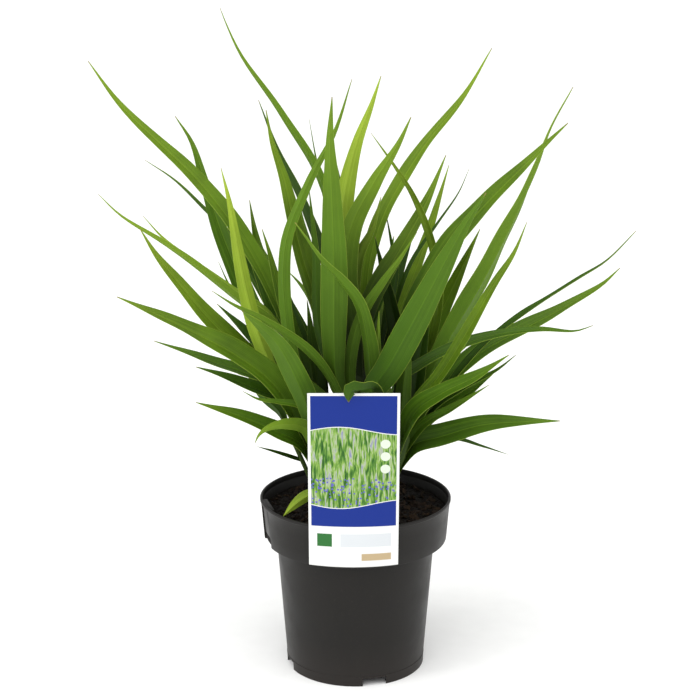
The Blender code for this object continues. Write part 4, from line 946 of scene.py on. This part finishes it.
def cells_of_sheet():
    """Every cell that something covers, with its nearest and farthest distance and its station on the leaf."""
    standing = standing_things()
    names = sorted({owner for owner, _, _ in standing})
    sampled = []
    steps = np.linspace(0, len(STATIONS) - 1, 150)
    low = np.minimum(steps.astype(int), len(STATIONS) - 2)
    part = (steps - low)[:, None]
    for number, leaf in enumerate(leaves):
        lines = [line[low] * (1 - part) + line[low + 1] * part for line in leaf_lines(leaf, 0.0012)]
        for share in np.linspace(-1, 1, 11):
            points = lines[1] + (lines[2 if share > 0 else 0] - lines[1]) * abs(share)
            sampled.append((number, points, 0.0006, steps))
    for owner, points, deep in standing:
        sampled.append((len(leaves) + names.index(owner), points, deep, np.zeros(len(points))))
    owners, keys, near, far, place = [], [], [], [], []
    for number, points, deep, stations in sampled:
        across, down, ahead = to_sheet(points)
        owners.append(np.full(len(points), number))
        keys.append(np.floor(across / CELL).astype(int) * STRIDE + np.floor(down / CELL).astype(int))
        near.append(ahead - deep)
        far.append(ahead + deep)
        place.append(stations)
    owners, keys, near, far, place = (np.concatenate(x) for x in (owners, keys, near, far, place))
    both = owners * STRIDE**2 + keys
    order = np.argsort(both, kind="stable")
    starts = np.flatnonzero(np.concatenate([[True], np.diff(both[order]) != 0]))
    counts = np.diff(np.concatenate([starts, [len(order)]]))
    cells = {
        "owner": owners[order][starts], "key": keys[order][starts],
        "near": np.minimum.reduceat(near[order], starts), "far": np.maximum.reduceat(far[order], starts),
        "place": np.add.reduceat(place[order], starts) / counts,
    }
    return cells, names


def meeting_pairs(cells, groups, held):
    """Pairs of rows in the same cell whose owners have to be kept apart."""
    count = len(leaves)
    order = np.argsort(cells["key"], kind="stable")
    keys = cells["key"][order]
    first, second = [], []
    for shift in range(1, MOST_IN_CELL):
        same = np.flatnonzero(keys[shift:] == keys[:-shift])
        if not len(same):
            break
        first.append(order[same])
        second.append(order[same + shift])
    a, b = np.concatenate(first), np.concatenate(second)
    swap = cells["owner"][a] > cells["owner"][b]
    a, b = np.where(swap, b, a), np.where(swap, a, b)
    owner_a, owner_b = cells["owner"][a], cells["owner"][b]
    other = groups[owner_a] != groups[owner_b]
    free = (cells["place"][a] > FREE_STATION) & (cells["place"][b] > FREE_STATION)
    free = free & (owner_a < count) & (owner_b < count)
    over_the_card = held[owner_a] & (owner_b >= count)
    keep_apart = (owner_a != owner_b) & (other | free) & (owner_a < count) & ~over_the_card
    return a[keep_apart], b[keep_apart]


# %% Move the leaves apart along the line of sight
CLEARANCE = 0.0030
NEAR_ENOUGH = 0.0002
ROUNDS = 160
STIFF_STATIONS = 0.5
BEND_STATIONS = 2.2
LEAST_WEIGHT = 0.12
PUSH_SHARE = 0.6
SMOOTH_SHARE = 0.18


def move_apart():
    """Adds a shift along the line of sight to each leaf's stations. Returns the clearance still lacking."""
    count, last = len(leaves), len(STATIONS) - 1
    cells, names = cells_of_sheet()
    shoots = list(SHOOTS)
    owner_groups = [shoots.index(leaf["shoot"]) for leaf in leaves]
    owner_groups += [shoots.index(name) if name in shoots else 90 + i for i, name in enumerate(names)]
    held = np.array([leaf["held"] for leaf in leaves] + [False] * len(names))
    a, b = meeting_pairs(cells, np.array(owner_groups), held)
    steps = np.clip((np.arange(last + 1) - STIFF_STATIONS) / BEND_STATIONS, 0, 1)
    loose = steps * steps * (3 - 2 * steps)
    owner_a, owner_b = cells["owner"][a], cells["owner"][b]
    place_a, place_b = cells["place"][a], cells["place"][b]
    loose_a = np.where(held[owner_a], 0, np.interp(place_a, range(last + 1), loose))
    loose_b = np.where(owner_b < count, np.interp(place_b, range(last + 1), loose), 0)
    loose_b = np.where(held[owner_b], 0, loose_b)
    gap = (cells["near"][b] + cells["far"][b] - cells["near"][a] - cells["far"][a]) / 2
    _, group = np.unique(owner_a * STRIDE + owner_b, return_inverse=True)
    vote = np.bincount(group, weights=gap * (1.05 - loose_a * loose_b) ** 2)
    a_first = vote[group] > 0
    share_a = (loose_a + 1e-6) / (loose_a + loose_b + 2e-6)
    pushes = np.zeros((count + len(names), last + 1))
    way = np.where(a_first, -1.0, 1.0)
    low_a = np.minimum(place_a.astype(int), last - 1)
    low_b = np.minimum(place_b.astype(int), last - 1)
    part_a = place_a - low_a
    part_b = place_b - low_b
    for _ in range(ROUNDS):
        push_a = pushes[owner_a, low_a] * (1 - part_a) + pushes[owner_a, low_a + 1] * part_a
        push_b = pushes[owner_b, low_b] * (1 - part_b) + pushes[owner_b, low_b + 1] * part_b
        room_behind_a = cells["near"][b] + push_b - cells["far"][a] - push_a
        room_behind_b = cells["near"][a] + push_a - cells["far"][b] - push_b
        lack = np.maximum(0, CLEARANCE - np.where(a_first, room_behind_a, room_behind_b))
        if lack.max() < NEAR_ENOUGH:
            break
        wants = np.zeros((2,) + pushes.shape)
        moves_a = (owner_a, low_a, part_a, way * lack * share_a)
        moves_b = (owner_b, low_b, part_b, -way * lack * (1 - share_a))
        for owner, low, part, amount in (moves_a, moves_b):
            for step, weight in ((0, 1 - part), (1, part)):
                np.maximum.at(wants[0], (owner, low + step), np.where(weight > LEAST_WEIGHT, amount, 0))
                np.maximum.at(wants[1], (owner, low + step), np.where(weight > LEAST_WEIGHT, -amount, 0))
        pushes += PUSH_SHARE * (wants[0] - wants[1]) * loose
        ends = np.concatenate([pushes[:, 1:], 2 * pushes[:, -1:] - pushes[:, -2:-1]], axis=1)
        starts = np.concatenate([pushes[:, :1], pushes[:, :-1]], axis=1)
        pushes += SMOOTH_SHARE * ((starts + ends) / 2 - pushes) * loose
    for leaf, push in zip(leaves, pushes):
        if not leaf["held"]:
            leaf["shift"] += push
            leaf["spine"] = leaf["spine"] + sight(leaf["spine"]) * push[:, None]
    return lack.max()


for _ in range(3):
    lack = move_apart()
    for leaf in leaves:
        set_frame(leaf)
    print("clearance short by", round(lack * 1000, 2), "mm at most")

# %% [markdown]
# ## One flat leaf
# A strap leaf is folded along its midrib like a shallow gutter, with a keel below and thin margins. It is
# modelled once, flat and one unit wide and long. Solidify gives it an upper and a lower skin. Its columns are
# then drawn towards the midrib and the margins, where the real leaf bends most. A tag on each point says which
# skin it is in, so that the finish can paint the paler underside.

# %% Model the flat leaf
LEAF_COLUMNS = 10

bpy.ops.mesh.primitive_grid_add(x_subdivisions=LEAF_COLUMNS, y_subdivisions=LEAF_ROWS, size=1)
flat_leaf = named("flat_leaf")
set_points(flat_leaf.data, points_of(flat_leaf) + (0, 0.5, 0))
finish_with(flat_leaf, "SOLIDIFY", thickness=1, offset=0, use_rim=True)
points = points_of(flat_leaf)
columns = along(((0, 0), (0.2, 0.07), (0.4, 0.34), (0.6, 0.64), (0.8, 0.92), (1, 1)), np.abs(points[:, 0]) * 2)
leaf_side = np.sign(points[:, 0]) * columns
leaf_row = np.rint(points[:, 1] * LEAF_ROWS).astype(int)
leaf_skin = np.sign(points[:, 2])
tag = flat_leaf.data.attributes.new("underside", "FLOAT", "POINT")
tag.data.foreach_set("value", (leaf_skin < 0).astype(np.float32))
print("flat leaf", len(points), "points")

# %% [markdown]
# ## Laying each leaf along its midrib
# Blender's Curve modifier can bend a strip along a path, but it can't turn it by a different angle at each
# place. So the points of each copy are set directly: station by station, the flat leaf's width, fold and
# thickness are measured off from the midrib. Margins ripple a little, as they do on a real leaf.

# %% Lay a copy of the flat leaf along each midrib
MIDRIB_THICK = 0.0010
MARGIN_THICK = 0.0004
RIPPLE = 0.0007
RIPPLE_LENGTH = 0.075
ripple_chance = np.random.default_rng(17)


def eased(places, values, wanted):
    """A smooth curve through the values, with its slope at each taken from its two neighbours."""
    places, values = np.asarray(places, float), np.asarray(values, float)
    slopes = np.gradient(values, places)
    low = np.clip(np.searchsorted(places, wanted, side="right") - 1, 0, len(places) - 2)
    span = places[low + 1] - places[low]
    t = (wanted - places[low]) / span
    return ((2 * t**3 - 3 * t**2 + 1) * values[low] + (t**3 - 2 * t**2 + t) * span * slopes[low]
            + (3 * t**2 - 2 * t**3) * values[low + 1] + (t**3 - t**2) * span * slopes[low + 1])


leaf_fold = np.radians(eased(*zip(*FOLD_ALONG), FINE))


def fine_frame(leaf):
    """The smooth midrib, shifted as the seven stations were, and its frame, facing the way theirs does."""
    spine = curve_through(leaf["points"], FINE)
    spine += sight(spine) * eased(leaf["stations"], leaf["shift"], FINE)[:, None]
    across, upward = leaf_frame(spine, np.interp(FINE, leaf["stations"], leaf["turns"]))
    side = -1 if across[round(leaf["stations"][3] * LEAF_ROWS)] @ leaf["across"][3] < 0 else 1
    return spine, side * across, side * upward


def laid_leaf(leaf):
    spine, across, upward = fine_frame(leaf)
    half = leaf["width"] / 2 * np.maximum(eased(*zip(*leaf["taper"]), FINE), 0.02)[leaf_row]
    fold = leaf_fold[leaf_row]
    far = np.abs(leaf_side)
    length = np.linalg.norm(np.diff(spine, axis=0), axis=1).sum()
    phase = ripple_chance.uniform(0, 2 * math.pi, 2)
    wave = np.sin(2 * math.pi * FINE[leaf_row] * length / RIPPLE_LENGTH + phase[(leaf_side > 0).astype(int)])
    lift = half * np.sin(fold) * (far - 0.5) + 0.05 * half * np.sin(math.pi * far)
    lift += RIPPLE * far**2 * wave * np.minimum(1, half / 0.008)
    thick = MARGIN_THICK + (MIDRIB_THICK - MARGIN_THICK) * (1 - far) ** 3
    thick = np.minimum(thick, half + 0.0003)
    points = spine[leaf_row] + across[leaf_row] * (half * leaf_side * np.cos(fold))[:, None]
    points = points + upward[leaf_row] * (lift + leaf_skin * thick / 2)[:, None]
    made = copy_of(flat_leaf, "leaf")
    set_points(made.data, points)
    for name, value in (("tone", leaf["tone"]), ("width", leaf["width"])):
        tag = made.data.attributes.new(name, "FLOAT", "POINT")
        tag.data.foreach_set("value", np.full(len(points), value, np.float32))
    return made


# %% [markdown]
# ## The stems
# A flax lily's stem is a roll of leaf bases, each wrapped round the next, so it is flat, and its surface steps
# where one base ends and the next shows. A flat grid is rolled into a tube for this, like paper, because it
# then brings its own UV map. The last rows are drawn together to a point, inside the fan.

# %% Model the stems
STEM_COLUMNS = 28
STEM_ROWS = 30
STEM_SINK = 0.013

bpy.ops.mesh.primitive_grid_add(x_subdivisions=STEM_COLUMNS, y_subdivisions=STEM_ROWS, size=1)
flat_stem = named("flat_stem")
stem_grid = points_of(flat_stem)
stem_row = np.rint((stem_grid[:, 1] + 0.5) * STEM_ROWS).astype(int)
stem_angle = 2 * math.pi * (stem_grid[:, 0] + 0.5)


def laid_stem(shoot):
    top, wide, deep = SHOOTS[shoot]
    low = stem_point(shoot, 0)
    height = np.clip((stem_row - 1) / (STEM_ROWS - 2), 0, 1)
    reach = (np.array(top) - low) * 1.02
    sunk = STEM_SINK / np.linalg.norm(reach)
    share = -sunk + (1 + sunk) * height
    swell = along(((-0.3, 0.85), (0, 0.90), (0.35, 1.0), (0.75, 1.02), (0.92, 0.86), (1.0, 0.52)), share)
    side = np.cos(stem_angle)
    step = (share * 5.0 + 0.5 * (side > 0) + 0.25 * np.abs(np.sin(stem_angle))) % 1.0
    swell = swell * (1.0 + 0.07 * (1 - step) * (wide / 0.0085))
    swell = np.where((stem_row == 0) | (stem_row == STEM_ROWS), 0.0, swell)
    points = low + reach * share[:, None]
    points = points + np.stack([wide * swell * side, deep * swell * np.sin(stem_angle), 0 * side], axis=1)
    made = copy_of(flat_stem, "stem")
    set_points(made.data, points)
    edit(made)
    bpy.ops.mesh.select_all(action="SELECT")
    bpy.ops.mesh.remove_doubles(threshold=0.00001)
    finish_edit()
    return made


# %% [markdown]
# ## The leaf's finish
# A leaf is a living tissue under a thin wax, so its colour is a soft green with a broad, weak shine. Its veins
# run lengthwise, about 1 mm apart, lighter than the tissue between them. The midrib and the thin margins are
# paler, the tip dries to straw and the underside is paler and duller. Leaves differ in tone from a deep green
# to a yellow-green. Painted shade makes each leaf darker towards its foot, darkest at the feet in the middle of
# the clump, and painted light makes it yellower towards its tip. Light passes through a leaf, and a little
# subsurface scattering gives it that glow.

# %% Mix the leaf tissue
VEIN_SPACING = 0.0011

leaf_finish, tree, shader = new_material(
    "waxy_leaf_tissue", IOR=1.42, Specular_IOR_Level=0.16, Subsurface_Weight=0.06,
    Subsurface_Radius=(0.5, 1.0, 0.2), Subsurface_Scale=0.0015)
place = add(tree, "TexCoord", out="Object")
on_leaf = add(tree, "TexCoord", out="UV")
across = add(tree, "SeparateXYZ", {"Vector": on_leaf}, out="X")
length = across.node.outputs["Y"]
height = add(tree, "SeparateXYZ", {"Vector": place}, out="Z")
tone = add(tree, "Attribute", out="Fac", attribute_name="tone")
width = add(tree, "Attribute", out="Fac", attribute_name="width")
underside = add(tree, "Attribute", out="Fac", attribute_name="underside")
from_middle = add(tree, "Math", {0: across, 1: 0.5}, operation="SUBTRACT")
from_middle = add(tree, "Math", {0: from_middle}, operation="ABSOLUTE")

# painted shade and painted light: on top of its tone, a leaf is drawn darker at its foot and yellower at its
# tip
painted_light_and_tone = add(tree, "MapRange", {"Value": length, "To Min": -0.125, "To Max": 0.125})
painted_light_and_tone = add(tree, "Math", {0: painted_light_and_tone, 1: tone}, operation="ADD")
green = add(tree, "ValToRGB", {"Fac": painted_light_and_tone}, stops=(
    (0.0, "#162604"), (0.25, "#2c480a"), (0.45, "#446410"), (0.65, "#627e18"), (0.90, "#829c20")))
pale = add(tree, "ValToRGB", {"Fac": painted_light_and_tone}, stops=(
    (0.0, "#283e0e"), (0.25, "#4a6e1a"), (0.45, "#668824"), (0.65, "#88a432"), (0.90, "#acc246")))
patches = add(tree, "TexNoise", {"Vector": place, "Scale": 30.0, "Detail": 3.0})
vein_phase = add(tree, "Math", {0: across, 1: width}, operation="MULTIPLY")
vein_phase = add(tree, "Math", {0: vein_phase, 1: 2 * math.pi / VEIN_SPACING}, operation="MULTIPLY")
veins = add(tree, "Math", {0: vein_phase}, operation="SINE")
stripe_place = add(tree, "Mapping", {"Vector": on_leaf, "Scale": (22.0, 1.3, 1.0)})
stripe_place = add(tree, "VectorMath", {0: stripe_place, 1: tone}, operation="ADD")
stripes = add(tree, "TexNoise", {"Vector": stripe_place, "Scale": 1.0, "Detail": 4.0, "Roughness": 0.6})

# each layer: what it follows, where that begins and ends, how much shows at most, and the colour
for follows, begin, end, most, colour in (
    (patches, 0.35, 0.70, 0.40, linear("#203a06")),
    (veins, 0.2, 1.0, 0.18, pale),
    (stripes, 0.48, 0.72, 0.45, pale),
    (underside, 0.0, 1.0, 0.35, pale),
    (from_middle, 0.080, 0.010, 0.60, pale),
    (from_middle, 0.462, 0.488, 0.45, linear("#adc048")),
    # the next layer is painted shade: it darkens each leaf towards its foot
    (length, 0.30, 0.08, 0.35, linear("#38520c")),
    (length, 0.80, 1.0, 0.35, pale),
    (length, 0.985, 1.0, 0.80, linear("#8c7648")),
):
    share = add(tree, "MapRange", {"Value": follows, "From Min": begin, "From Max": end, "To Max": most})
    green = add(tree, "Mix", {"Factor": share, "A": green, "B": colour}, data_type="RGBA")

# painted shade: the feet of the leaves are drawn dark inside the clump, near its axis and low down, where shade
# falls
from_axis = add(tree, "Mapping", {"Vector": place, "Scale": (1.0, 1.0, 0.0)})
from_axis = add(tree, "VectorMath", {0: from_axis}, out="Value", operation="LENGTH")
inside = add(tree, "MapRange", {"Value": from_axis, "From Min": 0.095, "From Max": 0.035, "To Max": 0.92})
shade_low_down = add(tree, "MapRange", {"Value": height, "From Min": 0.50, "From Max": 0.33})
deep = add(tree, "Math", {0: inside, 1: shade_low_down}, operation="MULTIPLY")
green = add(tree, "Mix", {"Factor": deep, "A": green, "B": linear("#070e02")}, data_type="RGBA")
rough = add(tree, "MapRange", {"Value": underside, "To Min": 0.40, "To Max": 0.56})
relief = add(tree, "Math", {0: veins, 1: stripes}, operation="ADD")
bump = add(tree, "Bump", {"Strength": 0.30, "Distance": 0.00012, "Height": relief})
drive(tree, shader, Base_Color=green, Roughness=rough, Normal=bump)

# %% [markdown]
# ## The stem's finish
# Wrapped leaf bases see little light inside the clump, so they are drawn a dull, dark green, which is painted
# shade, with lighter lengthwise threads and a brown tinge where they meet the soil.

# %% Mix the wrapped leaf bases
stem_finish, tree, shader = new_material(
    "wrapped_leaf_bases", IOR=1.42, Roughness=0.52, Specular_IOR_Level=0.18, Subsurface_Weight=0.06,
    Subsurface_Radius=(0.5, 1.0, 0.2), Subsurface_Scale=0.0015)
on_stem = add(tree, "TexCoord", out="UV")
length = add(tree, "SeparateXYZ", {"Vector": on_stem}, out="Y")
thread_place = add(tree, "Mapping", {"Vector": on_stem, "Scale": (60.0, 2.0, 1.0)})
threads = add(tree, "TexNoise", {"Vector": thread_place, "Scale": 1.0, "Detail": 4.0, "Roughness": 0.65})
# painted shade: the dark greens stand for the shade inside the clump; the brown at the foot is a soil tinge
colour = add(tree, "ValToRGB", {"Fac": length}, stops=(
    (0.05, "#2a1f17"), (0.20, "#38421d"), (0.50, "#34491a"), (1.0, "#26390f")))
thread_share = add(tree, "MapRange", {"Value": threads, "From Min": 0.45, "From Max": 0.75, "To Max": 0.5})
colour = add(tree, "Mix", {"Factor": thread_share, "A": colour, "B": linear("#5f6a38")}, data_type="RGBA")
bump = add(tree, "Bump", {"Strength": 0.4, "Distance": 0.0003, "Height": threads})
drive(tree, shader, Base_Color=colour, Normal=bump)

# %% [markdown]
# ## Each shoot in one piece
# The leaves and the stem of a shoot are joined, as they are in the CAD model, and the new piece stands for
# that shoot's solid.

# %% Join each shoot
flat_leaf.data.materials.append(leaf_finish)
flat_stem.data.materials.append(stem_finish)
for shoot in SHOOTS:
    parts = [laid_stem(shoot)] + [laid_leaf(leaf) for leaf in leaves if leaf["shoot"] == shoot]
    piece = joined(parts, f"{shoot}_leaves")
    bpy.ops.object.shade_smooth()
    keep(piece, [shoot])
bpy.data.objects.remove(flat_leaf)
bpy.data.objects.remove(flat_stem)

# %% [markdown]
# ## The card and its stake
# The card is a strip of printed plastic, 0.8 mm thick, that stands against the collar and bows round it at the
# foot. A flat grid is added and each of its points is set on the CAD model's own surface. Solidify then gives
# the sheet its thickness, and a small bevel rounds its edges. The stake behind it keeps the CAD model's shape
# and only gets a finish.

# %% Model the card
CARD_COLUMNS = 24
CARD_ROWS = 48

bpy.ops.mesh.primitive_grid_add(x_subdivisions=CARD_COLUMNS, y_subdivisions=CARD_ROWS, size=1)
card = named("plant_card")
set_points(card.data, np.array([card_point(x, y + 0.5) for x, y, _ in points_of(card)]))
edit(card)
finish_edit()
finish_with(card, "SOLIDIFY", thickness=CARD_THICK, offset=0)
finish_with(card, "BEVEL", width=0.00015, segments=2, limit_method="ANGLE", angle_limit=math.radians(60))
bpy.ops.object.shade_smooth_by_angle(angle=math.radians(40))
print("card", [round(v, 4) for v in card.dimensions])

# %% [markdown]
# ## The card's print
# Plant cards are printed by offset on white plastic and varnished. This one keeps the colours and the scale of
# such a card, with a plain design: a blue head and band, a field of soft grass strokes and violet dots, three
# round pale spots and a few plain bars. The back is white. The print reads the card's UV map, so each edge is
# set in millimetres from the card's left and foot.

# %% Mix the printed plastic
WIDE = CARD_WIDTH * 1000
TALL = (CARD_HIGH - CARD_LOW) / math.cos(CARD_LEAN) * 1000
EDGE = 2.6
HEAD_LOW = TALL - 38.0
FIELD_LOW = 68.0
BAND_LOW = 44.0
LINE = 0.8
BLUE = linear("#112c82")
WHITE = linear("#e2e3e1")

card_finish, tree, shader = new_material("varnished_print", IOR=1.50, Roughness=0.32, Specular_IOR_Level=0.18)
on_card = add(tree, "TexCoord", out="UV")
in_mm = add(tree, "Mapping", {"Vector": on_card, "Scale": (WIDE, TALL, 1.0)})
across = add(tree, "SeparateXYZ", {"Vector": in_mm}, out="X")
up = across.node.outputs["Y"]


def printed(under, colour, *masks):
    """Prints this colour over what is under it, where all the masks are 1."""
    mask = masks[0]
    for other in masks[1:]:
        mask = add(tree, "Math", {0: mask, 1: other}, operation="MULTIPLY")
    return add(tree, "Mix", {"Factor": mask, "A": under, "B": colour}, data_type="RGBA")


def between(value, low, high):
    """A mask that is 1 where the value lies between these two."""
    above = add(tree, "Math", {0: value, 1: low}, operation="GREATER_THAN")
    below = add(tree, "Math", {0: value, 1: high}, operation="LESS_THAN")
    return add(tree, "Math", {0: above, 1: below}, operation="MULTIPLY")


# the head and the field meet in a wave, and so do the field and the band
wave = add(tree, "Math", {0: across, 1: 0.055}, operation="MULTIPLY")
wave = add(tree, "Math", {0: wave}, operation="SINE")
wave = add(tree, "Math", {0: wave, 1: 4.0}, operation="MULTIPLY")
head_low = add(tree, "Math", {0: HEAD_LOW, 1: wave}, operation="ADD")
field_high = add(tree, "Math", {0: HEAD_LOW - LINE, 1: wave}, operation="ADD")
field_low = add(tree, "Math", {0: FIELD_LOW, 1: wave}, operation="SUBTRACT")
band_high = add(tree, "Math", {0: FIELD_LOW - LINE, 1: wave}, operation="SUBTRACT")

# two sets of strokes that lean left and right
place = add(tree, "Mapping", {"Vector": in_mm, "Rotation": (0, 0, 0.22), "Scale": (0.42, 0.055, 1.0)})
strokes = add(tree, "TexNoise", {"Vector": place, "Scale": 1.0, "Detail": 3.0, "Distortion": 1.2})
place = add(tree, "Mapping", {"Vector": in_mm, "Rotation": (0, 0, -0.30), "Scale": (0.30, 0.045, 1.0)})
others = add(tree, "TexNoise", {"Vector": place, "Scale": 1.0, "Detail": 3.0, "Distortion": 0.8})
crossed = add(tree, "Mix", {"Factor": 0.5, "A": strokes, "B": others}, data_type="FLOAT")
field = add(tree, "ValToRGB", {"Fac": crossed}, stops=(
    (0.36, "#1f4a1d"), (0.45, "#48782c"), (0.52, "#86a94e"), (0.58, "#a9b39a"), (0.66, "#7c7fa8")))
dots = add(tree, "TexVoronoi", {"Vector": in_mm, "Scale": 0.28}, out="Distance")
dots = add(tree, "Math", {0: dots, 1: 0.30}, operation="LESS_THAN")

inner = between(across, EDGE, WIDE - EDGE)
ink = printed(WHITE, BLUE, inner, between(up, head_low, TALL - EDGE))
ink = printed(ink, field, inner, between(up, field_low, field_high))
ink = printed(ink, linear("#5f5fae"), inner, dots, between(up, field_low, 96.0))
ink = printed(ink, BLUE, inner, between(up, BAND_LOW, band_high))
for down in (52.0, 65.0, 78.0):
    away = add(tree, "VectorMath", {0: in_mm, 1: (72.0, TALL - down, 0)}, out="Value", operation="DISTANCE")
    spot = add(tree, "Math", {0: away, 1: 4.6}, operation="LESS_THAN")
    ink = printed(ink, linear("#d3dccb"), spot)
for colour, left, right, low, high in (("#2f6b34", 8, 22, 22, 36), ("#b7a27f", 50, 78, 7, 14.5),
                                       ("#cfd3d6", 30, 78, 22, 36)):
    ink = printed(ink, linear(colour), between(across, left, right), between(up, low, high))
facing = add(tree, "SeparateXYZ", {"Vector": add(tree, "TexCoord", out="Normal")}, out="Y")
on_front = add(tree, "Math", {0: facing, 1: -0.3}, operation="LESS_THAN")
drive(tree, shader, Base_Color=printed(WHITE, ink, on_front))
keep(card, ["plant_label"], card_finish)

# %% [markdown]
# ## The stake's finish
# The stake is unprinted white polystyrene, slightly yellow and cloudy, and soiled where it goes into the soil.

# %% Mix the stake's plastic
stake_finish, tree, shader = new_material("white_polystyrene", IOR=1.59, Roughness=0.42)
place = add(tree, "TexCoord", out="Object")
cloudy = add(tree, "TexNoise", {"Vector": place, "Scale": 90.0, "Detail": 3.0})
white = add(tree, "ValToRGB", {"Fac": cloudy}, stops=((0.35, "#dcdcd5"), (0.70, "#e9e8e2")))
height = add(tree, "SeparateXYZ", {"Vector": place}, out="Z")
soiled = add(tree, "MapRange", {"Value": height, "From Min": 0.175, "From Max": 0.160, "To Max": 0.8})
colour = add(tree, "Mix", {"Factor": soiled, "A": white, "B": linear("#4b3d30")}, data_type="RGBA")
drive(tree, shader, Base_Color=colour)
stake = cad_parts["label_stake"]
stake.data.materials.clear()
stake.data.materials.append(stake_finish)
print("stake keeps the CAD model's shape")

# %% [markdown]
# ## Floor and light
# The photograph was taken on white, in a tent of light: a bright dome, a wide panel above and a little in
# front, and a weak lamp at each side. The panel is a sun lamp with a very wide disc, so that it lights all of
# the wide floor alike and leaves no edge on it. The side lamps draw the pale lines down the pot's edges.

# %% Add the floor
bpy.ops.mesh.primitive_plane_add(size=60)
floor = named("floor")
floor_finish, tree, shader = new_material("white_paper", IOR=1.45, Roughness=0.9)
place = add(tree, "TexCoord", out="Object")
fibres = add(tree, "TexNoise", {"Vector": place, "Scale": 40.0, "Detail": 3.0})
paper = add(tree, "ValToRGB", {"Fac": fibres}, stops=((0.3, "#f7f7f6"), (0.7, "#fafaf9")))
drive(tree, shader, Base_Color=paper)
floor.data.materials.append(floor_finish)
floor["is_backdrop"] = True

# %% Add the light
world = bpy.data.worlds.new("white_dome")
bpy.context.scene.world = world
world.use_nodes = True
world.node_tree.nodes["Background"].inputs["Color"].default_value = linear("#ffffff")
world.node_tree.nodes["Background"].inputs["Strength"].default_value = 0.70
bpy.ops.object.light_add(type="SUN", rotation=(math.radians(30), math.radians(-9), 0))
ceiling = bpy.context.object
ceiling.name = "ceiling_panel"
ceiling.data.energy = 2.0
ceiling.data.angle = math.radians(75)
AIM = Vector((0, 0, 0.32))
for name, place, size, power in (
    ("lamp_left", (-1.9, -1.0, 1.1), 1.0, 14),
    ("lamp_right", (1.9, -0.6, 1.0), 1.0, 9),
):
    bpy.ops.object.light_add(type="AREA", location=place)
    lamp = bpy.context.object
    lamp.name = name
    lamp.rotation_euler = (AIM - Vector(place)).to_track_quat("-Z", "Y").to_euler()
    lamp.data.size = size
    lamp.data.energy = power
bpy.context.scene.view_settings.view_transform = "Standard"
bpy.context.scene.view_settings.look = "None"

# %% [markdown]
# ## The last check
# The dressed part should fill the same box as the CAD model. Here the difference of the two boxes is printed,
# in millimetres.

# %% Print how the boxes differ and finish
visual_box = [list(corner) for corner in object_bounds()]
growth = [round((v - c) * 1000, 1) for v, c in zip(visual_box[0] + visual_box[1], cad_box[0] + cad_box[1])]
print(len(pieces), "pieces; the box differs from the CAD model's by", growth, "mm")
